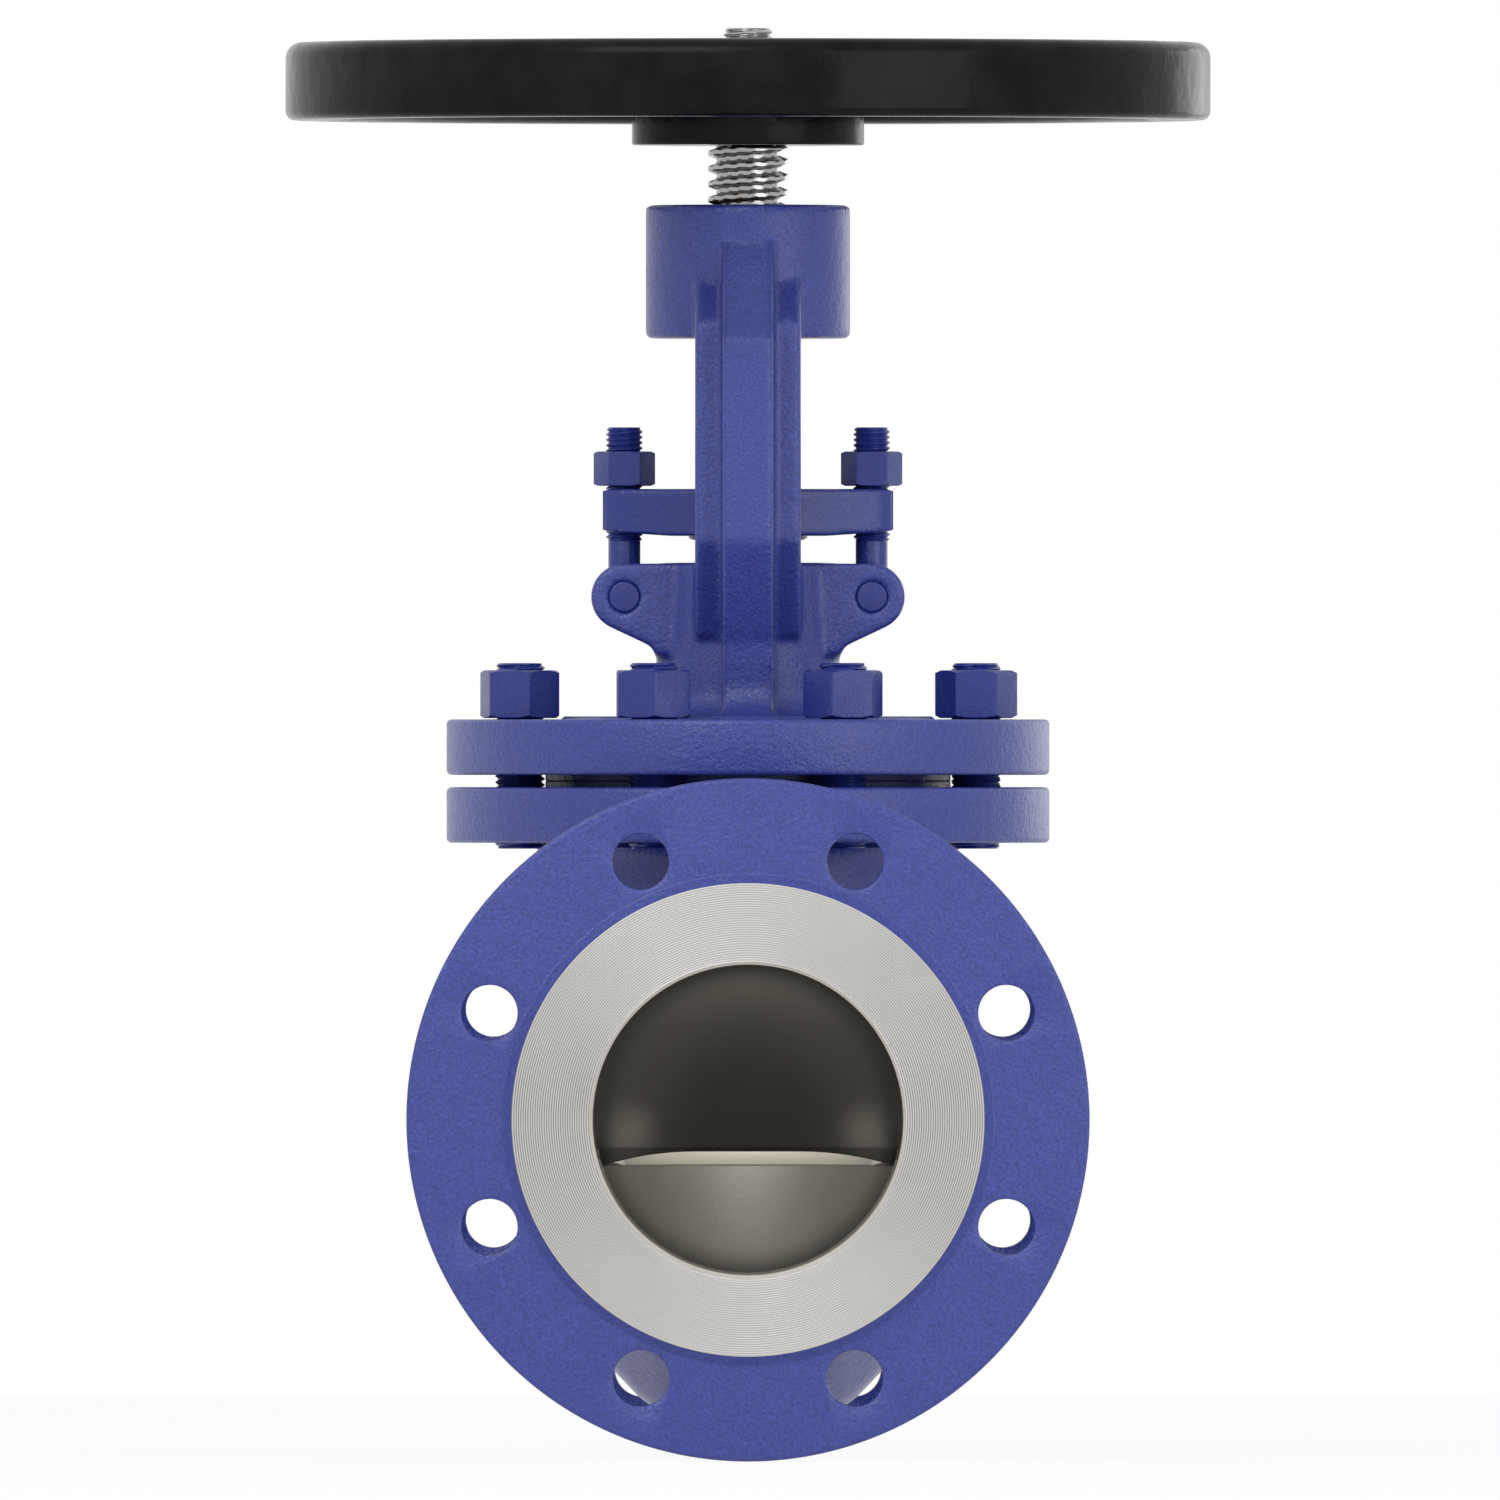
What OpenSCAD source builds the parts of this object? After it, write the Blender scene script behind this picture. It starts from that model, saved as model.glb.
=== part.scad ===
// Flanged globe-pattern shutoff valve with an outside screw and yoke.
// The pipe runs along Y, the stem stands along Z, and the origin is the
// centre of the inlet raised face.

/* [Pipe ends] */
// Length over the two raised faces
face_to_face = 350; // [330:1:380]
// Bore of the pipe ends
bore_d = 100; // [90:0.5:104]
// Outer diameter of the connection flanges
flange_d = 220; // [212:1:240]
// Flange thickness with the raised face
flange_t = 20; // [16:0.5:26]
// Machined sealing face diameter
sealing_face_d = 152.4; // [140:0.2:156]
// Height of the raised face
raised_face_h = 3; // [1:0.5:4]
// Bolt circle of the connection flanges
bolt_circle_d = 180; // [176:1:190]
// Bolt hole diameter
bolt_hole_d = 18; // [14:0.5:20]
// Bolt holes in each connection flange
bolt_count = 8; // [4:2:12]

/* [Body casting] */
// Width of the belly
belly_d = 140; // [136:1:150]
// Depth of the belly below the pipe axis
belly_drop = 105; // [100:1:115]
// Length of the level part of the belly along the pipe
belly_l = 48; // [30:2:60]
// Wall of the casting
body_wall = 9; // [7:0.5:10]
// Diameter of the chamber above the seat
chamber_d = 116; // [112:1:120]
// Thickness of the bridge that carries the seat
bridge_t = 15.6; // [13:0.2:18]
// Depth of the arched lip cut into the bridge on the inlet side
lip_h = 4.8; // [3:0.2:6]

/* [Seat and disc] */
// Bore through the seat
seat_bore_d = 92; // [84:0.5:94]
// Outer diameter of the seat ring
seat_ring_d = 106; // [102:0.5:108]
// Depth of the seat ring pocket
seat_pocket = 6; // [4:0.5:8]
// Height of the seat ring above the bridge
seat_rise = 4; // [2:0.5:6]
// Diameter of the disc
disc_d = 104; // [100:0.5:107]
// Thickness of the disc plate
disc_t = 14; // [10:0.5:18]
// Diameter of the boss on the disc
disc_boss_d = 54; // [50:1:60]
// Height of the boss above the disc plate
disc_boss_h = 42; // [38:1:46]

/* [Stem] */
// Diameter of the stem
stem_d = 26; // [24:0.5:27]
// Rise of the stem in one turn
stem_pitch = 5; // [4:0.5:6]
// Turns of the handwheel from closed to open
stem_turns = 6; // [5:0.5:6]
// Diameter of the head that the disc nut holds
stem_head_d = 34; // [31:0.5:36]
// Height of the stem head
stem_head_h = 10; // [8:0.5:11]
// Width over the flats of the handwheel square
drive_square = 18; // [16:0.5:18]
// Thread at the top of the stem
stem_top_d = 16; // [14:0.5:17]

/* [Body joint] */
// Height of the joint face above the pipe axis
joint_z = 109; // [106:1:116]
// Diameter of the body and bonnet flanges
joint_flange_d = 195.5; // [190:0.5:202]
// Thickness of the body and bonnet flanges
joint_flange_t = 18; // [15:0.5:22]
// Diameter of the raised joint rims
joint_rim_d = 131.4; // [130:0.2:136]
// Height of each raised joint rim
joint_rim_h = 2; // [1:0.5:3]
// Width of the gasket
gasket_w = 4.5; // [3:0.5:5]
// Thickness of the gasket
gasket_t = 2.5; // [1.5:0.5:3]
// Bonnet stud diameter
stud_d = 16; // [14:0.5:18]
// Bonnet stud circle
stud_circle_d = 160; // [156:1:164]
// Number of bonnet studs
stud_count = 8; // [6:2:10]
// Stud length beyond the nut
stud_tip = 2.3; // [1:0.1:5]
// Height of a bonnet nut
nut_h = 15.5; // [13:0.5:17]
// Size of a bonnet nut across its corners
nut_corner_d = 26.8; // [24:0.2:28]

/* [Bonnet] */
// Diameter of the round pad on the bonnet flange
pad_d = 121.2; // [110:0.2:128]
// Height of the round pad
pad_h = 1; // [0.5:0.5:3]
// Diameter at the foot of the stuffing box neck
neck_foot_d = 60.2; // [58:0.2:64]
// Diameter at the top of the stuffing box neck
neck_top_d = 57; // [55:0.5:60]
// Height of the neck above the pad
neck_h = 49.8; // [46:0.2:54]
// Radial width of the packing
packing_w = 6.5; // [5:0.5:7]
// Height of one packing ring
packing_h = 6.5; // [5:0.5:7]
// Number of packing rings
packing_count = 5; // [3:1:5]
// Thickness of the washer under the packing
packing_washer_t = 3; // [2:0.5:5]
// Depth of the backseat bush
bush_h = 15; // [12:0.5:17]
// Flange diameter of the backseat bush
bush_flange_d = 48; // [44:0.5:52]

/* [Yoke] */
// Clear height between the neck and the boss
yoke_clear_h = 72.7; // [70:0.5:80]
// Clear depth between the two arms
yoke_clear_w = 72; // [66:1:78]
// Diameter of the boss
boss_d = 66.3; // [62:0.5:70]
// Height of the boss
boss_h = 43.3; // [38:0.5:50]
// Width of an arm
arm_w = 34.3; // [30:0.5:38]
// Thickness of an arm
arm_t = 10; // [8:0.5:12]
// Width of the rib on an arm
rib_w = 16.5; // [12:0.5:20]
// Height of the rib on an arm
rib_h = 12; // [8:0.5:14]
// Diameter of the yoke bush
yoke_bush_d = 38; // [36:0.5:42]
// Collar diameter of the yoke bush
yoke_collar_d = 50; // [46:0.5:54]
// Thickness of the yoke bush collar
yoke_collar_t = 6; // [4:0.5:8]
// Diameter of the yoke bush locking pin
lock_pin_d = 5; // [4:0.5:6]
// Length of the yoke bush locking pin
lock_pin_l = 10; // [8:0.5:14]

/* [Gland] */
// Distance of an eyebolt pin from the stem axis
lug_x = 40.1; // [39.5:0.1:44]
// Depth of an eyebolt pin below the top of the neck
lug_drop = 11.1; // [10.8:0.1:14]
// Radius of the rounded lug end
lug_r = 10.8; // [10:0.1:11]
// Thickness of one lug ear
ear_t = 10; // [8:0.5:11]
// Gap between the two ears of a lug
ear_gap = 14; // [13.6:0.1:15]
// Eyebolt pin diameter
lug_pin_d = 10; // [8:0.5:11]
// Thread of the eyebolts
eyebolt_d = 12; // [10:0.5:12]
// Shank of the eyebolts below the thread
eyebolt_shank_d = 10.4; // [8:0.2:10.6]
// Length from the pin to the tip of an eyebolt
eyebolt_l = 55; // [54:0.5:60]
// Length of the thread on an eyebolt
eyebolt_thread_l = 37.1; // [30:0.1:40]
// Radius of the eye
eye_r = 10.2; // [9.5:0.1:10.4]
// Height of a gland nut
gland_nut_h = 11.2; // [10:0.1:12]
// Size of a gland nut across its corners
gland_nut_corner_d = 20.1; // [18:0.1:20.4]
// Gap left between a gland nut and the gland flange
gland_nut_gap = 1; // [1:0.1:2]
// Length of the gland flange
gland_l = 98.4; // [96:0.2:100]
// Width of the gland flange at the stem
gland_w = 50; // [46:1:54]
// Width of the gland flange at its ends
gland_end_w = 24; // [22:0.5:25]
// Thickness of the gland flange at its ends
gland_t = 13.6; // [10:0.2:15]
// Extra thickness of the gland flange at the stem
gland_belly = 1.6; // [0:0.2:2]
// Height from the neck to the gland flange
gland_gap = 8.7; // [8:0.1:12]
// Width of the eyebolt slots
slot_w = 13; // [12.6:0.1:14]
// Depth of the follower seat in the gland flange
follower_seat = 7; // [4:0.5:9]
// Travel of the gland when the nuts are run back
gland_lift = 7; // [3:0.5:7]

/* [Handwheel] */
// Gap between the boss and the handwheel hub when closed
wheel_gap = 19.4; // [16:0.1:24]
// Diameter of the handwheel
wheel_d = 300; // [250:5:340]
// Width of the rim
rim_w = 20; // [16:0.5:26]
// Height of the rim
rim_h = 25.2; // [20:0.2:30]
// Height of the rim above the hub's lower face
rim_raise = 8.1; // [4:0.1:12]
// Hub diameter
hub_d = 75.4; // [60:0.2:84]
// Hub height
hub_h = 18; // [16:0.5:22]
// Number of spokes
spoke_count = 5; // [3:1:6]
// Width of a spoke at the hub
spoke_w = 24; // [18:0.5:28]
// Thickness of a spoke
spoke_t = 9; // [8:0.5:13]
// Height of a spoke's axis above the middle of the hub
spoke_raise = 3; // [1:0.5:5]
// Thickness of the handwheel washer
washer_t = 3; // [2:0.5:4]
// Diameter of the handwheel washer
washer_d = 30; // [28:0.5:36]
// Height of the handwheel nut
wheel_nut_h = 13; // [10:0.5:14]
// Size of the handwheel nut across its corners
wheel_nut_corner_d = 27.2; // [24:0.2:28]
// Stem length beyond the handwheel nut
stem_tip = 4; // [2:0.5:6]

/* [Hidden] */
$fn = 96;

// Clearances
run_fit = 0.08;
slack = 0.1;
stud_hole_slack = 1;
edge = 1;
over = 1;
// Facets of the smooth cast forms
cast_fn = 48;

// Heights above the pipe axis
bolt_face_y = face_to_face / 2 - raised_face_h;
flange_back_y = face_to_face / 2 - flange_t;
neck_run = 30;
port_run = 13;
outlet_run = 8;
pipe_neck_d = bore_d + 2 * (body_wall - edge);
pipe_neck_y = flange_back_y - neck_run;
blend_r = 9;
saddle_z = 64;
blend_step = 0.6;
upper_neck_r = chamber_d / 2 + body_wall - edge;
bowl_r = belly_d / 2 - body_wall;
bowl_drop = belly_drop - body_wall;
port_y = pipe_neck_y - port_run;
outlet_port_y = port_y - outlet_run;
outlet_floor_y = chamber_d / 2 - 2 * edge;
neck_split_z = joint_z - joint_rim_h - joint_flange_t - blend_r;

body_flange_top = joint_z - joint_rim_h;
body_flange_bottom = body_flange_top - joint_flange_t;
bonnet_flange_bottom = joint_z + joint_rim_h;
bonnet_flange_top = bonnet_flange_bottom + joint_flange_t;
pad_z = bonnet_flange_top + pad_h;
neck_top_z = pad_z + neck_h;
boss_z = neck_top_z + yoke_clear_h;
boss_top_z = boss_z + boss_h;
hub_z = boss_top_z + wheel_gap;
wheel_nut_z = hub_z + hub_h + washer_t;
stem_top_z = wheel_nut_z + wheel_nut_h + stem_tip;

seat_z = seat_rise;
disc_top_z = seat_z + disc_t;
disc_boss_top_z = disc_top_z + disc_boss_h;
disc_nut_thread_h = 14;
disc_nut_z = disc_boss_top_z - disc_nut_thread_h;
stem_foot_z = disc_nut_z - stem_head_h;
thrust_pad_t = 4;
thrust_pad_d = 20;
disc_lift = stem_pitch * stem_turns;
backseat_z = joint_z - disc_lift;
backseat_d = stem_d + 10;
disc_nut_thread_d = stem_head_d + 8;
disc_nut_hex_h = 12;

box_r = stem_d / 2 + packing_w;
box_z = joint_z + bush_h + 6;
packing_z = box_z + packing_washer_t;
packing_top_z = packing_z + packing_count * packing_h;
bush_d = stem_d + 10;
bush_flange_h = 4;
// Heights of the arms and ribs at the neck and on the boss
arm_foot = 24;
arm_knee = 7;
arm_shoulder = 5.2;
arm_crown = 15.9;
rib_crown = 31;
rib_root = 10;
rib_rise = 22;
// How far the slopes of the arms and ribs run on inside the boss
slope_run = 6;
// Roundings of the yoke window and of a rib's foot
window_foot_r = 12;
window_top_r = 8;
rib_foot_r = 10;

gland_z = neck_top_z + gland_gap;
gland_top_z = gland_z + gland_belly + gland_t;
follower_top_z = gland_z + follower_seat;
lug_z = neck_top_z - lug_drop;
gland_nut_z = gland_top_z + gland_nut_gap;
eyebolt_top_z = lug_z + eyebolt_l;
eye_w = ear_gap - 4 * slack;
bolt_angle = 180 / bolt_count;
stud_angle = 180 / stud_count;
stud_bottom_z = body_flange_bottom - 1.9;
stud_top_z = bonnet_flange_top + 0.4 + nut_h + stud_tip;

// Turn of each bonnet nut as it was left by the spanner
function nut_turn(i) = [12, 52, 27, 40, 44, 33, 15, 0][i % 8];

// Points along an arc
function arc(x, y, r, a0, a1, n = 8) =
    [for (i = [0:n]) [x + r * cos(a0 + (a1 - a0) * i / n), y + r * sin(a0 + (a1 - a0) * i / n)]];

// Points along a quarter of the belly outline, from the bottom up to the pipe axis
function belly(a, b, steps = 9) =
    [for (i = [0:steps]) [a * sin(90 * i / steps), -b * cos(90 * i / steps)]];

// A slope from the outside of the yoke up to the boss, run on a little into it
function slope(outer, low_z, high_z) =
    let (rise = (high_z - low_z) / (outer - boss_d / 2))
    [[boss_d / 2 - slope_run, high_z + rise * slope_run], [outer, low_z]];

module at_stem() {
    translate([0, face_to_face / 2, 0])
        children();
}

module ring(d, bore, h, z) {
    translate([0, 0, z])
        difference() {
            cylinder(d = d, h = h);
            translate([0, 0, -over])
                cylinder(d = bore, h = h + 2 * over);
        }
}

module along_y() {
    rotate([-90, 0, 0])
        children();
}

module hex(corner_d, h, z, turn = 0) {
    translate([0, 0, z])
        rotate(turn)
            cylinder(d = corner_d, h = h, $fn = 6);
}

module hex_nut(corner_d, h, z, bore, turn = 0) {
    difference() {
        hex(corner_d, h, z, turn);
        translate([0, 0, z - over])
            cylinder(d = bore, h = h + 2 * over);
    }
}

module around(count, circle_d, first) {
    for (i = [0:count - 1])
        rotate(first + 360 * i / count)
            translate([circle_d / 2, 0, 0])
                children();
}

// Outline of a connection flange with its neck, radius against distance from the stem
module pipe_flange_outline() {
    neck_r = pipe_neck_d / 2;
    polygon(concat(
        [[0, port_y + over], [neck_r, port_y + over]],
        arc(neck_r + blend_r, flange_back_y - blend_r, blend_r, 180, 90),
        [
            [flange_d / 2 - edge, flange_back_y],
            [flange_d / 2, flange_back_y + edge],
            [flange_d / 2, bolt_face_y - edge],
            [flange_d / 2 - edge, bolt_face_y],
            [sealing_face_d / 2 + raised_face_h, bolt_face_y],
            [sealing_face_d / 2, face_to_face / 2],
            [0, face_to_face / 2]
        ]
    ));
}

// What lies between two distances along the pipe
module stretch(from, to) {
    intersection() {
        children();
        translate([-belly_d, from, -2 * belly_drop])
            cube([2 * belly_d, to - from, 4 * belly_drop]);
    }
}

// What lies between two heights
module level(from, to) {
    intersection() {
        children();
        translate([-joint_flange_d, -joint_flange_d, from])
            cube([2 * joint_flange_d, 2 * joint_flange_d, to - from]);
    }
}

// A pipe end from where its bore runs straight: neck, flange, bore and bolt holes
module pipe_end(side, start) {
    color("royalblue")
        at_stem()
            mirror([0, side < 0 ? 1 : 0, 0])
                difference() {
                    union() {
                        along_y()
                            rotate_extrude()
                                pipe_flange_outline();
                        stretch(start, pipe_neck_y + 2 * edge)
                            belly_form();
                    }
                    translate([0, start - over, 0])
                        along_y()
                            cylinder(d = bore_d, h = face_to_face / 2 - start + 2 * over);
                    translate([0, flange_back_y - over, 0])
                        along_y()
                            around(bolt_count, bolt_circle_d, bolt_angle)
                                cylinder(d = bolt_hole_d, h = flange_t + 2 * over);
                }
}

// The cast belly, blended from the pot under the seat into both pipe necks
module belly_form() {
    hull()
        for (side = [-1, 1]) {
            translate([0, side * belly_l / 2, 0])
                rotate_extrude($fn = cast_fn)
                    polygon(concat(
                        belly(belly_d / 2, belly_drop),
                        [[upper_neck_r - 8, saddle_z], [0, saddle_z]]
                    ));
            translate([0, side * pipe_neck_y, 0])
                rotate([90, 0, 0])
                    cylinder(r = pipe_neck_d / 2 - blend_step, h = 2 * edge, center = true, $fn = cast_fn);
        }
}

// The flange that carries the bonnet, on the end of the upright neck
module bonnet_seat_form() {
    r = upper_neck_r;
    rotate_extrude()
        polygon(concat(
            [[0, neck_split_z], [r, neck_split_z]],
            arc(r + blend_r - 2, body_flange_bottom - blend_r + 2, blend_r - 2, 180, 90),
            [
                [joint_flange_d / 2 - edge, body_flange_bottom],
                [joint_flange_d / 2, body_flange_bottom + edge],
                [joint_flange_d / 2, body_flange_top - edge],
                [joint_flange_d / 2 - edge, body_flange_top],
                [joint_rim_d / 2, body_flange_top],
                [joint_rim_d / 2, joint_z],
                [0, joint_z]
            ]
        ));
}

// Space of the bowl below the bridge, at a shift towards the inlet
module bowl_space(shift) {
    translate([0, -shift, 0])
        rotate_extrude($fn = cast_fn)
            intersection() {
                polygon(concat(belly(bowl_r, bowl_drop), [[0, 0]]));
                translate([0, -belly_drop])
                    square([belly_d, belly_drop - bridge_t]);
            }
}

// The way in: down under the near wall of the chamber into the bowl below the bridge
module inlet_way() {
    throat_y = chamber_d / 2 + over;
    hull() {
        intersection() {
            bowl_space(belly_l / 2);
            translate([-belly_d / 2, -throat_y - over, -belly_drop])
                cube([belly_d, over, belly_drop]);
        }
        translate([0, -port_y, 0])
            rotate([90, 0, 0])
                cylinder(r = bore_d / 2 - blend_step, h = 1, center = true, $fn = cast_fn);
    }
    hull() {
        bowl_space(0);
        bowl_space(belly_l / 2);
    }
    translate([0, -port_y, 0])
        rotate([90, 0, 0])
            cylinder(d = bore_d, h = face_to_face / 2 - port_y + over);
}

// The way out: over the seat, down past the bridge and into the outlet bore
module outlet_way() {
    corner_r = 8;
    first_angle = 12;
    translate([0, bore_d / 4, 0])
        along_y()
            linear_extrude(outlet_floor_y - bore_d / 4 + 0.5)
                intersection() {
                    circle(d = bore_d);
                    translate([-bore_d, -bore_d])
                        square([2 * bore_d, bore_d - blend_step]);
                }
    hull() {
        for (a = [first_angle:(180 - 2 * first_angle) / 4:180])
            translate([0, outlet_floor_y, 0])
                rotate([0, -a, 0])
                    translate([bore_d / 2 - blend_step - corner_r, 0, 0])
                        rotate([90, 0, 0])
                            cylinder(r = corner_r, h = 1, center = true, $fn = 24);
        translate([0, outlet_port_y, 0])
            rotate([90, 0, 0])
                cylinder(r = bore_d / 2 - blend_step, h = 1, center = true, $fn = cast_fn);
    }
    translate([0, outlet_port_y, 0])
        along_y()
            cylinder(d = bore_d, h = face_to_face / 2 - outlet_port_y + over);
}

// The arched lip that lets the flow turn up through the seat
module seat_lip() {
    lip_r = 100;
    flat = 17;
    sweep = acos(1 - lip_h / lip_r);
    reach = bowl_r + lip_h + over;
    translate([0, -reach, -bridge_t])
        along_y()
            linear_extrude(reach - seat_bore_d / 4)
                polygon(concat(
                    arc(flat, lip_r - lip_h, lip_r, sweep - 90, -90),
                    arc(-flat, lip_r - lip_h, lip_r, -90, -90 - sweep),
                    [
                        [-flat - lip_r * sin(sweep), over],
                        [flat + lip_r * sin(sweep), over]
                    ]
                ));
}

module valve_body() {
    color("royalblue")
        at_stem()
            difference() {
                union() {
                    stretch(-port_y, outlet_port_y)
                        belly_form();
                    cylinder(r = upper_neck_r, h = neck_split_z);
                }
                cylinder(d = chamber_d, h = joint_z + over);
                translate([0, 0, -bridge_t - over])
                    cylinder(d = seat_bore_d, h = bridge_t + 2 * over);
                translate([0, 0, -seat_pocket])
                    cylinder(d = seat_ring_d, h = seat_pocket + over);
                inlet_way();
                seat_lip();
                outlet_way();
            }
}

module inlet_flange() {
    pipe_end(-1, port_y);
}

module outlet_flange() {
    pipe_end(1, outlet_port_y);
}

module body_flange() {
    color("royalblue")
        at_stem()
            difference() {
                bonnet_seat_form();
                translate([0, 0, neck_split_z - over])
                    cylinder(d = chamber_d, h = joint_z - neck_split_z + 2 * over);
                translate([0, 0, joint_z - gasket_t])
                    cylinder(d = chamber_d + 2 * gasket_w, h = gasket_t + over);
                around(stud_count, stud_circle_d, stud_angle)
                    translate([0, 0, body_flange_bottom - over])
                        cylinder(d = stud_d, h = joint_flange_t + 2 * over);
            }
}

module seat_ring() {
    color("gainsboro")
        at_stem()
            ring(seat_ring_d, seat_bore_d, seat_pocket + seat_rise, -seat_pocket);
}

module disc() {
    skirt = 4;
    color("silver")
        at_stem()
            difference() {
                rotate_extrude()
                    polygon([
                        [0, seat_z],
                        [disc_d / 2 - edge, seat_z],
                        [disc_d / 2, seat_z + edge],
                        [disc_d / 2, disc_top_z - skirt],
                        [disc_d / 2 - skirt, disc_top_z],
                        [disc_boss_d / 2 + 6, disc_top_z],
                        [disc_boss_d / 2, disc_top_z + 6],
                        [disc_boss_d / 2, disc_boss_top_z - edge],
                        [disc_boss_d / 2 - edge, disc_boss_top_z],
                        [0, disc_boss_top_z]
                    ]);
                translate([0, 0, stem_foot_z - thrust_pad_t])
                    cylinder(d = thrust_pad_d, h = thrust_pad_t + over);
                translate([0, 0, stem_foot_z])
                    cylinder(d = stem_head_d + 2 * run_fit, h = stem_head_h + over);
                translate([0, 0, disc_nut_z])
                    cylinder(d = disc_nut_thread_d, h = disc_nut_thread_h + over);
            }
}

module thrust_pad() {
    color("dimgray")
        at_stem()
            translate([0, 0, stem_foot_z - thrust_pad_t])
                cylinder(d = thrust_pad_d, h = thrust_pad_t);
}

module disc_nut() {
    color("darkgray")
        at_stem()
            difference() {
                union() {
                    translate([0, 0, disc_nut_z])
                        cylinder(d = disc_nut_thread_d, h = disc_nut_thread_h);
                    hex(disc_nut_thread_d + 4, disc_nut_hex_h, disc_boss_top_z);
                    translate([0, 0, disc_boss_top_z + disc_nut_hex_h])
                        cylinder(d = backseat_d, h = backseat_z - disc_boss_top_z - disc_nut_hex_h);
                }
                translate([0, 0, disc_nut_z - over])
                    cylinder(d = stem_d + 2 * slack, h = backseat_z - disc_nut_z + 2 * over);
            }
}

module stem() {
    color("lightgray")
        at_stem()
            union() {
                translate([0, 0, stem_foot_z])
                    cylinder(d = stem_head_d, h = stem_head_h - slack);
                translate([0, 0, stem_foot_z])
                    cylinder(d = stem_d, h = hub_z - stem_foot_z);
                translate([-drive_square / 2, -drive_square / 2, hub_z - over])
                    cube([drive_square, drive_square, hub_h - edge + over]);
                translate([0, 0, hub_z])
                    cylinder(d = stem_top_d, h = stem_top_z - hub_z - edge);
                translate([0, 0, stem_top_z - edge])
                    cylinder(d1 = stem_top_d, d2 = stem_top_d - 2 * edge, h = edge);
            }
}

module body_gasket() {
    color("dimgray")
        at_stem()
            ring(chamber_d + 2 * gasket_w, chamber_d, gasket_t, joint_z - gasket_t);
}

module bonnet_neck_form() {
    foot_r = neck_foot_d / 2;
    rotate_extrude()
        polygon(concat(
            [
                [0, joint_z],
                [joint_rim_d / 2, joint_z],
                [joint_rim_d / 2, bonnet_flange_bottom],
                [joint_flange_d / 2 - edge, bonnet_flange_bottom],
                [joint_flange_d / 2, bonnet_flange_bottom + edge],
                [joint_flange_d / 2, bonnet_flange_top - edge],
                [joint_flange_d / 2 - edge, bonnet_flange_top],
                [pad_d / 2, bonnet_flange_top],
                [pad_d / 2 - pad_h, pad_z]
            ],
            arc(foot_r + blend_r, pad_z + blend_r, blend_r, 270, 180),
            [[neck_top_d / 2, neck_top_z - edge], [neck_top_d / 2 - edge, neck_top_z], [0, neck_top_z]]
        ));
}

// Side outline of one arm plate: distance from the stem against height
module arm_outline() {
    inner = yoke_clear_w / 2;
    outer = inner + arm_t;
    foot_z = neck_top_z - arm_foot;
    knee_z = neck_top_z + arm_knee;
    polygon(concat(
        [[boss_d / 3, boss_z + arm_crown]],
        slope(outer, boss_z + arm_shoulder, boss_z + arm_crown),
        [
            [outer, knee_z],
            [neck_top_d / 2 + edge / 2, foot_z],
            [box_r + 2 * edge, foot_z],
            [box_r + 2 * edge, neck_top_z],
            [neck_top_d / 2 - 2 * edge, neck_top_z]
        ],
        arc(inner - window_foot_r, knee_z + window_top_r, window_foot_r, -40, 0, 5),
        arc(inner - window_top_r, boss_z - window_top_r, window_top_r, 0, 90, 5),
        [[boss_d / 3, boss_z]]
    ));
}

// Side outline of the rib on an arm, from the boss down to the pad
module rib_outline() {
    inner = yoke_clear_w / 2 + arm_t / 2;
    outer = yoke_clear_w / 2 + arm_t + rib_h;
    waist = neck_foot_d / 2 + rib_h;
    knee_z = neck_top_z + arm_knee;
    polygon(concat(
        slope(outer, boss_z, boss_z + rib_crown),
        [
            [outer, knee_z],
            [waist + 2 * edge, neck_top_z - arm_foot - 2 * edge]
        ],
        arc(waist + rib_foot_r, pad_z + rib_foot_r, rib_foot_r, 180, 265, 5),
        [
            [waist + rib_foot_r - 2 * edge, bonnet_flange_top],
            [box_r + 2 * edge, bonnet_flange_top],
            [box_r + 2 * edge, neck_top_z - rib_rise],
            [neck_top_d / 2, neck_top_z - rib_rise / 2 - edge],
            [inner, knee_z],
            [inner, boss_z],
            [boss_d / 3, boss_z + rib_root]
        ]
    ));
}

module yoke_arm(side) {
    mirror([0, side < 0 ? 1 : 0, 0])
        rotate([90, 0, 90]) {
            linear_extrude(arm_w, center = true)
                arm_outline();
            linear_extrude(rib_w, center = true)
                rib_outline();
        }
}

// Outline of one lug ear: a rounded end at the pin and a sloped lower edge
module ear_outline() {
    neck_r = neck_foot_d / 2;
    polygon(concat(
        [[box_r + 2, lug_z + lug_r]],
        arc(lug_x, lug_z, lug_r, 90, -62, 20),
        [
            [neck_r + 1.3, lug_z - lug_r - 5.2],
            [neck_r, lug_z - lug_r - 8],
            [box_r + 2, lug_z - lug_r - 8]
        ]
    ));
}

module lug(side) {
    mirror([side < 0 ? 1 : 0, 0, 0])
        difference() {
            rotate([90, 0, 0])
                linear_extrude(ear_gap + 2 * ear_t, center = true)
                    ear_outline();
            translate([lug_x, 0, lug_z])
                rotate([90, 0, 0])
                    cylinder(r = eye_r + 0.8, h = ear_gap, center = true);
            translate([lug_x, -ear_gap / 2, lug_z])
                cube([lug_r + over, ear_gap, lug_r + over]);
            translate([lug_x - eyebolt_d / 2 - 1, -ear_gap / 2, lug_z])
                cube([lug_r + over, ear_gap, lug_r + over]);
        }
}

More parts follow.
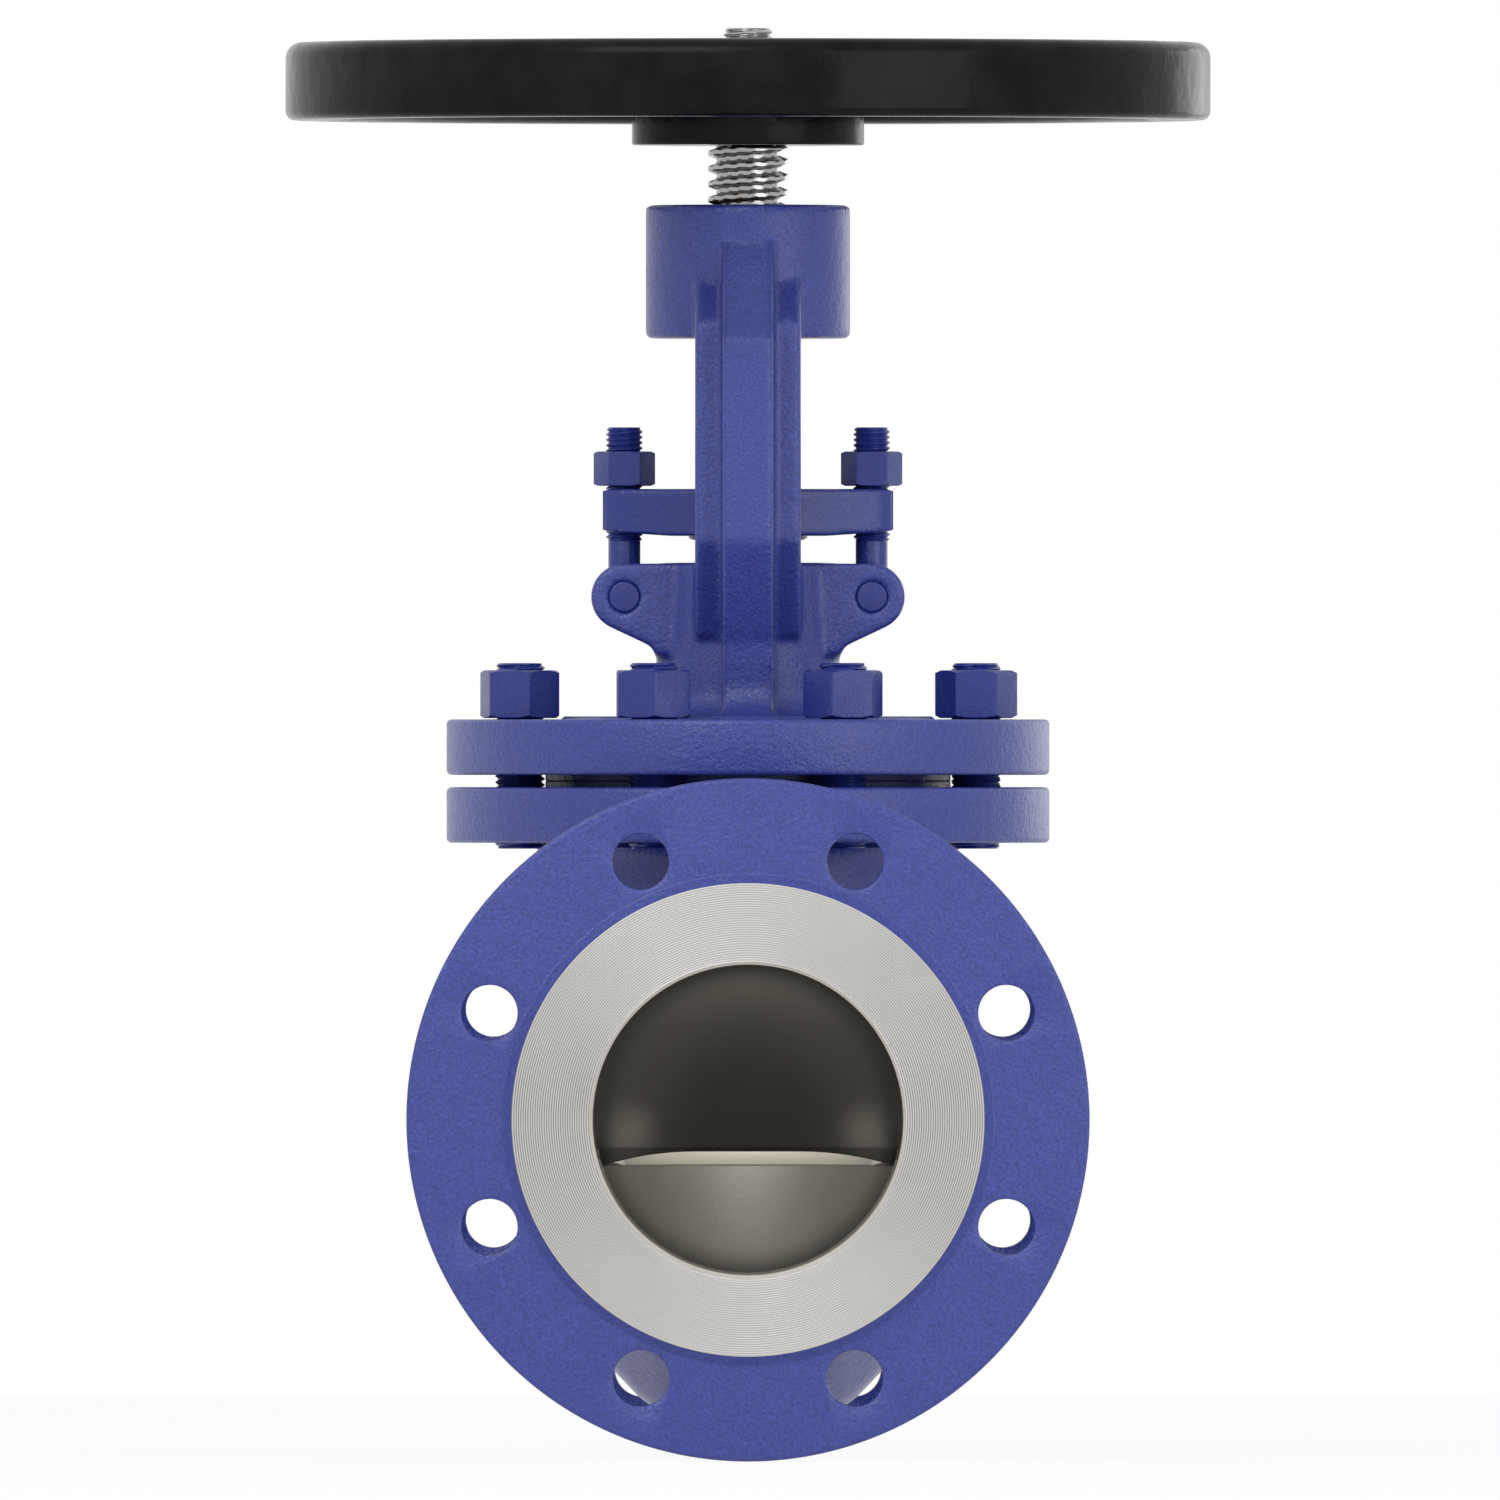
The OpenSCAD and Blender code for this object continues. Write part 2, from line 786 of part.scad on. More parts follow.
module bonnet() {
    color("royalblue")
        at_stem()
            difference() {
                union() {
                    bonnet_neck_form();
                    level(joint_z, neck_top_z)
                        for (side = [-1, 1])
                            yoke_arm(side);
                    lug(-1);
                    lug(1);
                }
                translate([0, 0, box_z])
                    cylinder(r = box_r, h = neck_top_z - box_z + over);
                translate([0, 0, joint_z - over])
                    cylinder(d = stem_d + 4 * slack, h = box_z - joint_z + 2 * over);
                translate([0, 0, joint_z - over])
                    cylinder(d = bush_d, h = bush_h + over);
                translate([0, 0, joint_z - over])
                    cylinder(d = bush_flange_d, h = bush_flange_h + over);
                around(stud_count, stud_circle_d, stud_angle)
                    translate([0, 0, bonnet_flange_bottom - over])
                        cylinder(d = stud_d + 2 * stud_hole_slack, h = joint_flange_t + 2 * over);
                for (side = [-1, 1])
                    translate([side * lug_x, 0, lug_z])
                        rotate([90, 0, 0])
                            cylinder(d = lug_pin_d, h = ear_gap + 2 * ear_t + 2 * over, center = true);
            }
}

// The two arms above the stuffing box, and the boss that they carry
module yoke() {
    color("royalblue")
        at_stem()
            difference() {
                union() {
                    level(neck_top_z, boss_top_z)
                        for (side = [-1, 1])
                            yoke_arm(side);
                    translate([0, 0, boss_z + edge])
                        cylinder(d = boss_d, h = boss_h - 2 * edge);
                    translate([0, 0, boss_z])
                        cylinder(d1 = boss_d - 2 * edge, d2 = boss_d, h = edge);
                    translate([0, 0, boss_top_z - edge])
                        cylinder(d1 = boss_d, d2 = boss_d - 2 * edge, h = edge);
                }
                translate([0, 0, boss_z - over])
                    cylinder(d = yoke_bush_d, h = boss_h + 2 * over);
                translate([0, 0, boss_z - over])
                    cylinder(d = yoke_collar_d, h = yoke_collar_t + over);
                lock_pin_hole();
            }
}

module lock_pin_hole() {
    translate([yoke_bush_d / 2, 0, boss_top_z - lock_pin_l])
        cylinder(d = lock_pin_d, h = lock_pin_l + over);
}

module backseat_bush() {
    color("gainsboro")
        at_stem()
            difference() {
                union() {
                    translate([0, 0, joint_z])
                        cylinder(d = bush_d, h = bush_h);
                    translate([0, 0, joint_z])
                        cylinder(d = bush_flange_d, h = bush_flange_h);
                }
                translate([0, 0, joint_z - over])
                    cylinder(d = stem_d + 2 * slack, h = bush_h + 2 * over);
            }
}

module bonnet_studs() {
    color("slategray")
        at_stem()
            around(stud_count, stud_circle_d, stud_angle)
                translate([0, 0, stud_bottom_z])
                    cylinder(d = stud_d, h = stud_top_z - stud_bottom_z);
}

module bonnet_nuts() {
    color("royalblue")
        at_stem()
            for (i = [0:stud_count - 1])
                rotate(stud_angle + 360 * i / stud_count)
                    translate([stud_circle_d / 2, 0, 0])
                        rotate(nut_turn(i) - stud_angle - 360 * i / stud_count)
                            bonnet_nut();
}

// A nut stands on its round washer face
module bonnet_nut() {
    washer_face_h = 0.4;
    difference() {
        union() {
            hex(nut_corner_d, nut_h, bonnet_flange_top + washer_face_h);
            translate([0, 0, bonnet_flange_top])
                cylinder(d = nut_corner_d * 0.84, h = nut_h);
        }
        translate([0, 0, bonnet_flange_top - over])
            cylinder(d = stud_d, h = nut_h + 2 * over);
    }
}

module packing_washer() {
    color("gray")
        at_stem()
            ring(2 * box_r, stem_d + 2 * slack, packing_washer_t, box_z);
}

module packing_rings() {
    color("dimgray")
        at_stem()
            for (i = [0:packing_count - 1])
                packing_ring(packing_z + i * packing_h, i < packing_count - 1 ? slack : 0);
}

module packing_ring(z, gap) {
    ring(2 * box_r, stem_d + 2 * slack, packing_h - gap, z);
}

module gland_follower() {
    color("slategray")
        at_stem()
            ring(2 * (box_r - run_fit), stem_d + 2 * slack, follower_top_z - packing_top_z, packing_top_z);
}

// Plan outline of the gland flange: round ends blended into a round middle
module gland_outline() {
    middle_r = gland_w / 2;
    end_r = gland_end_w / 2;
    end_x = gland_l / 2 - end_r;
    lean = acos((middle_r - end_r) / end_x);
    polygon(concat(
        arc(0, 0, middle_r, lean, 180 - lean, 12),
        arc(-end_x, 0, end_r, 180 - lean, 180 + lean, 16),
        arc(0, 0, middle_r, 180 + lean, 360 - lean, 12),
        arc(end_x, 0, end_r, -lean, lean, 16)
    ));
}

module gland_flange() {
    half = gland_l / 2;
    color("royalblue")
        at_stem()
            difference() {
                intersection() {
                    translate([0, 0, gland_z])
                        linear_extrude(gland_belly + gland_t)
                            gland_outline();
                    rotate([90, 0, 0])
                        linear_extrude(gland_w + 2 * over, center = true)
                            polygon([
                                [-half - over, gland_z + gland_belly],
                                [-gland_w / 2, gland_z],
                                [gland_w / 2, gland_z],
                                [half + over, gland_z + gland_belly],
                                [half + over, gland_top_z + over],
                                [-half - over, gland_top_z + over]
                            ]);
                }
                translate([0, 0, gland_z - over])
                    cylinder(r = box_r - run_fit, h = follower_seat + over);
                translate([0, 0, gland_z - over])
                    cylinder(d = stem_d + 4, h = gland_t + gland_belly + 2 * over);
                for (side = [-1, 1]) {
                    translate([side * lug_x, 0, gland_z - over])
                        cylinder(d = slot_w, h = gland_t + gland_belly + 2 * over);
                    translate([side > 0 ? lug_x : -half - over, -slot_w / 2, gland_z - over])
                        cube([half - lug_x + over, slot_w, gland_t + gland_belly + 2 * over]);
                }
            }
}

module lug_pins() {
    color("steelblue")
        at_stem()
            for (side = [-1, 1])
                translate([side * lug_x, 0, lug_z])
                    rotate([90, 0, 0])
                        cylinder(d = lug_pin_d, h = ear_gap + 2 * ear_t, center = true);
}

module eyebolt(side) {
    translate([side * lug_x, 0, 0])
        difference() {
            union() {
                translate([0, 0, lug_z])
                    rotate([90, 0, 0])
                        cylinder(r = eye_r, h = eye_w, center = true);
                translate([0, 0, lug_z])
                    cylinder(d = eyebolt_shank_d, h = eyebolt_l - eyebolt_thread_l + over);
                translate([0, 0, eyebolt_top_z - eyebolt_thread_l])
                    cylinder(d = eyebolt_d, h = eyebolt_thread_l);
            }
            translate([0, 0, lug_z])
                rotate([90, 0, 0])
                    cylinder(d = lug_pin_d + 2 * run_fit, h = eye_w + 2 * over, center = true);
        }
}

module gland_nut(side) {
    translate([side * lug_x, 0, 0])
        hex_nut(gland_nut_corner_d, gland_nut_h, gland_nut_z, eyebolt_d + 2 * run_fit);
}

module eyebolt_left() {
    color("steelblue")
        at_stem()
            eyebolt(-1);
}

module eyebolt_right() {
    color("steelblue")
        at_stem()
            eyebolt(1);
}

module gland_nut_left() {
    color("royalblue")
        at_stem()
            gland_nut(-1);
}

module gland_nut_right() {
    color("royalblue")
        at_stem()
            gland_nut(1);
}

module yoke_bush() {
    color("goldenrod")
        at_stem()
            difference() {
                union() {
                    translate([0, 0, boss_z])
                        cylinder(d = yoke_bush_d, h = boss_h);
                    translate([0, 0, boss_z])
                        cylinder(d = yoke_collar_d, h = yoke_collar_t);
                }
                translate([0, 0, boss_z - over])
                    cylinder(d = stem_d + 2 * slack, h = boss_h + 2 * over);
                lock_pin_hole();
            }
}

module yoke_bush_pin() {
    color("dimgray")
        at_stem()
            translate([yoke_bush_d / 2, 0, boss_top_z - lock_pin_l])
                cylinder(d = lock_pin_d, h = lock_pin_l);
}

// Section of the rim, with rounded edges
module rim_outline() {
    inner_x = wheel_d / 2 - rim_w;
    outer_x = wheel_d / 2;
    z0 = hub_z + rim_raise;
    z1 = z0 + rim_h;
    top_r = 5;
    foot_r = 3;
    inner_r = 8;
    polygon(concat(
        arc(outer_x - foot_r, z0 + foot_r, foot_r, -90, 0, 4),
        arc(outer_x - top_r, z1 - top_r, top_r, 0, 90, 5),
        arc(inner_x + inner_r, z1 - inner_r, inner_r, 90, 180, 6),
        arc(inner_x + inner_r, z0 + inner_r, inner_r, 180, 270, 6)
    ));
}

module spoke() {
    reach = wheel_d / 2 - rim_w / 2;
    rise = rim_raise + rim_h / 2 - hub_h / 2 - spoke_raise;
    half_t = spoke_t / 2;
    half_w = spoke_w / 2;
    translate([0, 0, hub_z + hub_h / 2 + spoke_raise])
        rotate([0, -atan(rise / reach), 0])
            rotate([90, 0, 90])
                translate([0, 0, hub_d / 4])
                    linear_extrude(reach - hub_d / 4)
                        polygon(concat(
                            arc(half_w - half_t, 0, half_t, -90, 90, 8),
                            arc(half_t - half_w, 0, half_t, 90, 270, 8)
                        ));
}

module handwheel() {
    color("black")
        at_stem()
            difference() {
                union() {
                    rotate_extrude()
                        rim_outline();
                    rotate_extrude()
                        polygon([
                            [0, hub_z],
                            [hub_d / 2 - edge / 2, hub_z],
                            [hub_d / 2, hub_z + edge / 2],
                            [hub_d / 2, hub_z + hub_h - 3],
                            [hub_d / 2 - 3, hub_z + hub_h],
                            [0, hub_z + hub_h]
                        ]);
                    for (i = [0:spoke_count - 1])
                        rotate(90 + 360 * i / spoke_count)
                            spoke();
                }
                translate([-drive_square / 2, -drive_square / 2, hub_z - over])
                    cube([drive_square, drive_square, hub_h + 2 * over]);
            }
}

module handwheel_washer() {
    color("silver")
        at_stem()
            ring(washer_d, stem_top_d, washer_t, hub_z + hub_h);
}

module handwheel_nut() {
    color("silver")
        at_stem()
            hex_nut(wheel_nut_corner_d, wheel_nut_h, wheel_nut_z, stem_top_d, 8);
}

valve_body();
inlet_flange();
outlet_flange();
body_flange();
seat_ring();
disc();
thrust_pad();
disc_nut();
stem();
body_gasket();
bonnet();
yoke();
backseat_bush();
bonnet_studs();
bonnet_nuts();
packing_washer();
packing_rings();
gland_follower();
gland_flange();
lug_pins();
eyebolt_left();
eyebolt_right();
gland_nut_left();
gland_nut_right();
yoke_bush();
yoke_bush_pin();
handwheel();
handwheel_washer();
handwheel_nut();
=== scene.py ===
"""A flanged stop valve with a rising stem, dressed for its picture.

Lengths are in metres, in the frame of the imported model: the inlet face is at Y 0, the flow runs
along +Y, and the stem stands at Y 0.175. Heights are above the pipe axis.
"""

import logging
import math
from dataclasses import dataclass
from enum import Enum
from typing import Callable, Dict, List, Optional, Sequence, Tuple, Union

import bmesh
import bpy
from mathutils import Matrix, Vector


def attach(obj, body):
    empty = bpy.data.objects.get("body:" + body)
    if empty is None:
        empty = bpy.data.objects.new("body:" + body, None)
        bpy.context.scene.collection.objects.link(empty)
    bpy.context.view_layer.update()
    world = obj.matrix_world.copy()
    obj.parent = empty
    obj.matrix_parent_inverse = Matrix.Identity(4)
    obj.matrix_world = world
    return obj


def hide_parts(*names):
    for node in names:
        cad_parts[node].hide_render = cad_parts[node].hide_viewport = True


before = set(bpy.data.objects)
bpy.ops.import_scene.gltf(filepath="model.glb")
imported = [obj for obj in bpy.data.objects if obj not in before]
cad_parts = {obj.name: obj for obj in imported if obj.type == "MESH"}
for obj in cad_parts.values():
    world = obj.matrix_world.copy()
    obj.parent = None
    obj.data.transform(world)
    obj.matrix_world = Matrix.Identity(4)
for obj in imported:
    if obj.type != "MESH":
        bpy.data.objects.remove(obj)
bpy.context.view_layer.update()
LOG = logging.getLogger("stop_valve")

STEM_Y = 0.175
PIPE_LENGTH = 0.350
PIPE_AXIS_Z = 0.0

BEYOND = 0.2
TRIM_R = 0.15

Point = Tuple[float, float]
Place = Tuple[float, float, float]
Corner = Tuple[float, float, float]
Colour = Tuple[float, float, float, float]


class Axis(Enum):
    """The axis that a turned piece is made on."""

    PIPE = "pipe"
    STEM = "stem"


class Cut(Enum):
    """What one solid does to another."""

    AWAY = "DIFFERENCE"
    JOIN = "UNION"
    KEEP = "INTERSECT"


def rounded(corners: Sequence[Corner], steps: int = 4) -> List[Point]:
    """Rounds the corners of a closed outline.

    Args:
        corners: x, y and corner radius of each point.
        steps: straight pieces in each rounding.

    Returns:
        The points of the outline.
    """
    out: List[Point] = []
    for i, (x, y, radius) in enumerate(corners):
        if radius <= 0:
            out.append((x, y))
            continue
        here = Vector((x, y))
        before = Vector(corners[i - 1][:2]) - here
        after = Vector(corners[(i + 1) % len(corners)][:2]) - here
        half = before.angle(after) / 2
        reach = min(radius / math.tan(half), 0.49 * before.length, 0.49 * after.length)
        before.normalize()
        after.normalize()
        centre = here + (before + after).normalized() * (reach / math.cos(half))
        first, last = here + before * reach - centre, here + after * reach - centre
        turn = first.angle(last)
        for k in range(steps + 1):
            t = k / steps
            p = centre + (first * math.sin((1 - t) * turn) + last * math.sin(t * turn)) / math.sin(turn)
            out.append((p.x, p.y))
    return out


def link(name: str, mesh: bpy.types.Mesh) -> bpy.types.Object:
    """Puts a mesh in the scene.

    Args:
        name: the object's name.
        mesh: its mesh.

    Returns:
        The new object.
    """
    made = bpy.data.objects.new(name, mesh)
    bpy.context.scene.collection.objects.link(made)
    return made


def from_bmesh(name: str, work: bmesh.types.BMesh, merge: float = 1e-6) -> bpy.types.Object:
    """Merges doubles, turns the faces outwards and makes the object.

    Args:
        name: the object's name.
        work: the mesh being edited, which is freed.
        merge: distance under which corners become one.

    Returns:
        The new object.
    """
    bmesh.ops.remove_doubles(work, verts=work.verts, dist=merge)
    bmesh.ops.recalc_face_normals(work, faces=work.faces)
    mesh = bpy.data.meshes.new(name)
    work.to_mesh(mesh)
    work.free()
    return link(name, mesh)


def on_axis(axis: Axis, radius: float, turn: float, along: float) -> Place:
    """The place of a point that is given round an axis.

    Args:
        axis: the axis.
        radius: distance from it.
        turn: angle round it.
        along: place along it.

    Returns:
        The point's place.
    """
    if axis is Axis.PIPE:
        return radius * math.cos(turn), along, PIPE_AXIS_Z + radius * math.sin(turn)
    return radius * math.cos(turn), STEM_Y + radius * math.sin(turn), along


def lathe(name: str, outline: Sequence[Point], axis: Axis, around: int = 128) -> bpy.types.Object:
    """Turns a closed outline round an axis.

    Args:
        name: the object's name.
        outline: radius and place along the axis of each point.
        axis: the axis of the turning.
        around: number of steps in the full turn.

    Returns:
        The turned solid.
    """
    work = bmesh.new()
    rings = [
        [work.verts.new(on_axis(axis, r, math.tau * k / around, h)) for r, h in outline]
        for k in range(around)
    ]
    count = len(outline)
    for k in range(around):
        one, two = rings[k], rings[(k + 1) % around]
        for i in range(count):
            j = (i + 1) % count
            if max(outline[i][0], outline[j][0]) > 1e-7:
                work.faces.new((one[i], one[j], two[j], two[i]))
    return from_bmesh(name, work)


def tube(
    name: str, inner: float, outer: float, low: float, high: float, axis: Axis, around: int = 96
) -> bpy.types.Object:
    """A plain tube used as a cutting tool, or a rod where its inner radius is 0.

    Args:
        name: the object's name.
        inner: radius of its bore.
        outer: its outer radius.
        low: where it starts on its axis.
        high: where it ends on its axis.
        axis: its axis.
        around: number of steps in the full turn.

    Returns:
        The tube.
    """
    return lathe(name, [(inner, low), (outer, low), (outer, high), (inner, high)], axis, around)


def block(name: str, low: Place, high: Place) -> bpy.types.Object:
    """A block used as a cutting tool.

    Args:
        name: the object's name.
        low: its lowest corner.
        high: its highest corner.

    Returns:
        The block.
    """
    work = bmesh.new()
    bmesh.ops.create_cube(work, size=1.0)
    for v in work.verts:
        for axis in range(3):
            v.co[axis] = high[axis] if v.co[axis] > 0 else low[axis]
    return from_bmesh(name, work)


def moved(piece: bpy.types.Object, x: float = 0.0, y: float = 0.0, z: float = 0.0) -> bpy.types.Object:
    """Moves a piece's mesh and leaves its origin where it is.

    Args:
        piece: the piece.
        x: how far it goes along X.
        y: how far it goes along Y.
        z: how far it goes along Z.

    Returns:
        The piece.
    """
    for v in piece.data.vertices:
        v.co = (v.co.x + x, v.co.y + y, v.co.z + z)
    return piece


def bake(piece: bpy.types.Object) -> bpy.types.Object:
    """Turns the result of a piece's modifiers into its plain mesh.

    Args:
        piece: the piece, whose modifiers are removed.

    Returns:
        The piece.
    """
    graph = bpy.context.evaluated_depsgraph_get()
    mesh = bpy.data.meshes.new_from_object(piece.evaluated_get(graph))
    mesh.name = piece.name
    old = piece.data
    piece.modifiers.clear()
    piece.data = mesh
    bpy.data.meshes.remove(old)
    return piece


def combine(piece: bpy.types.Object, tool: bpy.types.Object, how: Cut) -> bpy.types.Object:
    """Cuts or joins a solid with another one, which is used up.

    Args:
        piece: the solid that stays.
        tool: the solid that is used up.
        how: whether the tool is cut away, joined or kept.

    Returns:
        The changed piece.
    """
    step = piece.modifiers.new(how.name, "BOOLEAN")
    step.object, step.operation, step.solver = tool, how.value, "MANIFOLD"
    bake(piece)
    bpy.data.objects.remove(tool)
    return piece


def shade(piece: bpy.types.Object, angle: float = 32.0) -> bpy.types.Object:
    """Shades a piece smoothly, apart from its sharp edges.

    Args:
        piece: the piece.
        angle: angle in degrees from which an edge stays sharp.

    Returns:
        The piece.
    """
    piece.data.shade_smooth()
    piece.data.set_sharp_from_angle(angle=math.radians(angle))
    return piece


def solid_copy(node: str, name: str) -> bpy.types.Object:
    """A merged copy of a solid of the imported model.

    Args:
        node: the solid.
        name: name of the copy.

    Returns:
        The copy.
    """
    work = bmesh.new()
    work.from_mesh(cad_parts[node].data)
    return from_bmesh(name, work, 2e-6)


def joined_copy(name: str, *nodes: str) -> bpy.types.Object:
    """A copy of solids that meet face to face and are one casting, joined in one.

    Args:
        name: name of the copy.
        nodes: the solids.

    Returns:
        The joined solid.
    """
    made = solid_copy(nodes[0], name)
    for node in nodes[1:]:
        combine(made, solid_copy(node, node + "_copy"), Cut.JOIN)
    return made


def soften(
    piece: bpy.types.Object, voxel: float, rounds: int, ease: Optional[Callable[[Vector], float]] = None
) -> bpy.types.Object:
    """Runs out the edges and corners of a cast solid, as the mould leaves them.

    Args:
        piece: the solid.
        voxel: size of the faces that it gets.
        rounds: how often the surface is smoothed.
        ease: how strongly it is smoothed at a place, from 0 to 1, if not the same all over.

    Returns:
        The piece, as a closed mesh.
    """
    mesh = piece.modifiers.new("remesh", "REMESH")
    mesh.mode, mesh.voxel_size = "VOXEL", voxel
    if ease is not None:
        bake(piece)
        group = piece.vertex_groups.new(name="ease")
        for v in piece.data.vertices:
            group.add([v.index], ease(v.co), "REPLACE")
    smooth = piece.modifiers.new("soften", "SMOOTH")
    smooth.factor, smooth.iterations = 0.5, rounds
    if ease is not None:
        smooth.vertex_group = "ease"
    bake(piece)
    piece.vertex_groups.clear()
    return piece


def shells(piece: bpy.types.Object) -> List[bpy.types.Object]:
    """Takes a closed piece that has a void in it apart into its shells.

    Args:
        piece: the piece, which is used up.

    Returns:
        The shells, the widest first, each facing outwards.
    """
    whole = bmesh.new()
    whole.from_mesh(piece.data)
    whole.verts.ensure_lookup_table()
    label = [-1] * len(whole.verts)
    count = 0
    for start in range(len(label)):
        if label[start] >= 0:
            continue
        waiting = [whole.verts[start]]
        label[start] = count
        while waiting:
            v = waiting.pop()
            for edge in v.link_edges:
                other = edge.other_vert(v)
                if label[other.index] < 0:
                    label[other.index] = count
                    waiting.append(other)
        count += 1
    whole.free()
    made = []
    for part in range(count):
        work = bmesh.new()
        work.from_mesh(piece.data)
        bmesh.ops.delete(work, geom=[v for v in work.verts if label[v.index] != part], context="VERTS")
        made.append(from_bmesh(piece.name + "_shell", work))
    bpy.data.objects.remove(piece)
    return sorted(made, key=lambda shell: -max(shell.dimensions))


class Wire:
    """An output socket that takes part in Python expressions on numbers."""

    def __init__(self, bench: "Bench", socket: bpy.types.NodeSocket) -> None:
        """Keeps the bench and the socket.

        Args:
            bench: the tree that the socket belongs to.
            socket: the output socket.
        """
        self.bench, self.socket = bench, socket

    def __add__(self, other: "Number") -> "Wire":
        """The sum."""
        return self.bench.maths("ADD", self, other)

    __radd__ = __add__

    def __sub__(self, other: "Number") -> "Wire":
        """The difference."""
        return self.bench.maths("SUBTRACT", self, other)

    def __rsub__(self, other: "Number") -> "Wire":
        """The difference, with the number first."""
        return self.bench.maths("SUBTRACT", other, self)

    def __mul__(self, other: "Number") -> "Wire":
        """The product."""
        return self.bench.maths("MULTIPLY", self, other)

    __rmul__ = __mul__

    def __truediv__(self, other: "Number") -> "Wire":
        """The quotient."""
        return self.bench.maths("DIVIDE", self, other)

    def __rtruediv__(self, other: "Number") -> "Wire":
        """The quotient, with the number first."""
        return self.bench.maths("DIVIDE", other, self)

    def __gt__(self, other: "Number") -> "Wire":
        """1 where this is the larger, else 0."""
        return self.bench.maths("GREATER_THAN", self, other)

    def __lt__(self, other: "Number") -> "Wire":
        """1 where this is the smaller, else 0."""
        return self.bench.maths("LESS_THAN", self, other)


Number = Union[float, int, Wire]


class Bench:
    """A node tree, and the ways in which its nodes are made."""

    def __init__(self, tree: bpy.types.NodeTree) -> None:
        """Keeps the tree and empties it.

        Args:
            tree: the tree.
        """
        self.tree = tree
        tree.nodes.clear()

    def node(
        self, kind: str, sockets: Optional[Dict[Union[str, int], object]] = None, **settings: object
    ) -> bpy.types.Node:
        """Adds a node.

        Args:
            kind: the node's type.
            sockets: value or wire for each input socket.
            settings: the node's own settings, set first.

        Returns:
            The new node.
        """
        made = self.tree.nodes.new(kind)
        for key, value in settings.items():
            setattr(made, key, value)
        for key, value in (sockets or {}).items():
            if isinstance(value, Wire):
                self.tree.links.new(value.socket, made.inputs[key])
            else:
                made.inputs[key].default_value = value
        return made

    def wire(self, node: bpy.types.Node, output: Union[str, int] = 0) -> Wire:
        """An output of a node, ready for an expression."""
        return Wire(self, node.outputs[output])

    def maths(self, operation: str, *values: Number, clamp: bool = False) -> Wire:
        """The result of a Math node on the values."""
        step = self.node("ShaderNodeMath", dict(enumerate(values)), operation=operation, use_clamp=clamp)
        return self.wire(step)

    def mix(self, amount: Number, one: object, two: object) -> Wire:
        """A colour between two colours."""
        step = self.node("ShaderNodeMix", {0: amount, 6: one, 7: two}, data_type="RGBA")
        return self.wire(step, 2)

    def noise(self, grain: float, detail: float = 3.0, rough: float = 0.5) -> Wire:
        """Noise whose lumps are about as wide as the grain.

        Args:
            grain: width of a lump in metres.
            detail: number of finer layers.
            rough: weight of the finer layers.

        Returns:
            The noise, about 0.5 on average.
        """
        place = self.wire(self.node("ShaderNodeTexCoord"), "Object")
        sockets = {"Vector": place, "Scale": 1.0 / grain, "Detail": detail, "Roughness": rough}
        return self.wire(self.node("ShaderNodeTexNoise", sockets), "Fac")


class Surface(Bench):
    """A material, with its shader and its bump."""

    def __init__(self, name: str) -> None:
        """Makes the material with an empty tree.

        Args:
            name: the material's name.
        """
        self.material = bpy.data.materials.new(name)
        self.material.use_nodes = True
        super().__init__(self.material.node_tree)

    def bump(self, height: Wire, depth: float, strength: float) -> Wire:
        """A bump as deep as that, in metres."""
        sockets = {"Height": height, "Distance": depth, "Strength": strength}
        return self.wire(self.node("ShaderNodeBump", sockets), "Normal")

    def from_pipe(self) -> Tuple[Wire, Wire, Wire]:
        """Where the surface lies, seen along the pipe.

        Returns:
            X, Z and the distance from the pipe's axis.
        """
        place = self.node("ShaderNodeSeparateXYZ", {0: self.wire(self.node("ShaderNodeTexCoord"), "Object")})
        x, z = self.wire(place, "X"), self.wire(place, "Z")
        return x, z, self.maths("SQRT", x * x + z * z)

    def close(self, **sockets: object) -> bpy.types.Material:
        """Adds the shader and the output.

        Args:
            sockets: inputs of the shader, with _ for each space in their names.

        Returns:
            The finished material.
        """
        named = {key.replace("_", " "): value for key, value in sockets.items()}
        shader = self.node("ShaderNodeBsdfPrincipled", named)
        self.node("ShaderNodeOutputMaterial", {"Surface": self.wire(shader)})
        return self.material


def darker(colour: Colour, share: float) -> Colour:
    """A colour with that share of its brightness."""
    red, green, blue, alpha = colour
    return red * share, green * share, blue * share, alpha


@dataclass(frozen=True)
class CastPaint:
    """Blue paint on a sand casting: satin, with the grain of the mould under it."""

    name: str = "cast_paint"
    colour: Colour = (0.050, 0.072, 0.353, 1.0)
    deep: Colour = (0.039, 0.057, 0.299, 1.0)
    grain: float = 0.0010
    depth: float = 0.00046
    gloss: float = 0.33
    cloud: float = 0.030
    speckle: float = 0.30

    def make(self) -> bpy.types.Material:
        """Builds the material.

        Returns:
            The material.
        """
        s = Surface(self.name)
        broad = s.noise(self.cloud, 2.0)
        fine = s.noise(self.grain, 2.0, 0.6)
        pits = s.noise(self.grain * 3.2, 3.0, 0.7)
        clouds = s.maths("MULTIPLY_ADD", broad, 1.6, -0.35, clamp=True)
        specks = s.maths("MULTIPLY_ADD", s.noise(self.grain * 0.9, 1.0), 2.6, -0.9, clamp=True)
        colour = s.mix(clouds, self.colour, self.deep)
        colour = s.mix(specks, colour, darker(self.deep, 1 - self.speckle))
        rough = self.gloss + (pits - 0.5) * 0.22 + (broad - 0.5) * 0.12
        height = fine * 0.6 + pits * 0.9
        return s.close(Base_Color=colour, Roughness=rough, Normal=s.bump(height, self.depth, 0.9))


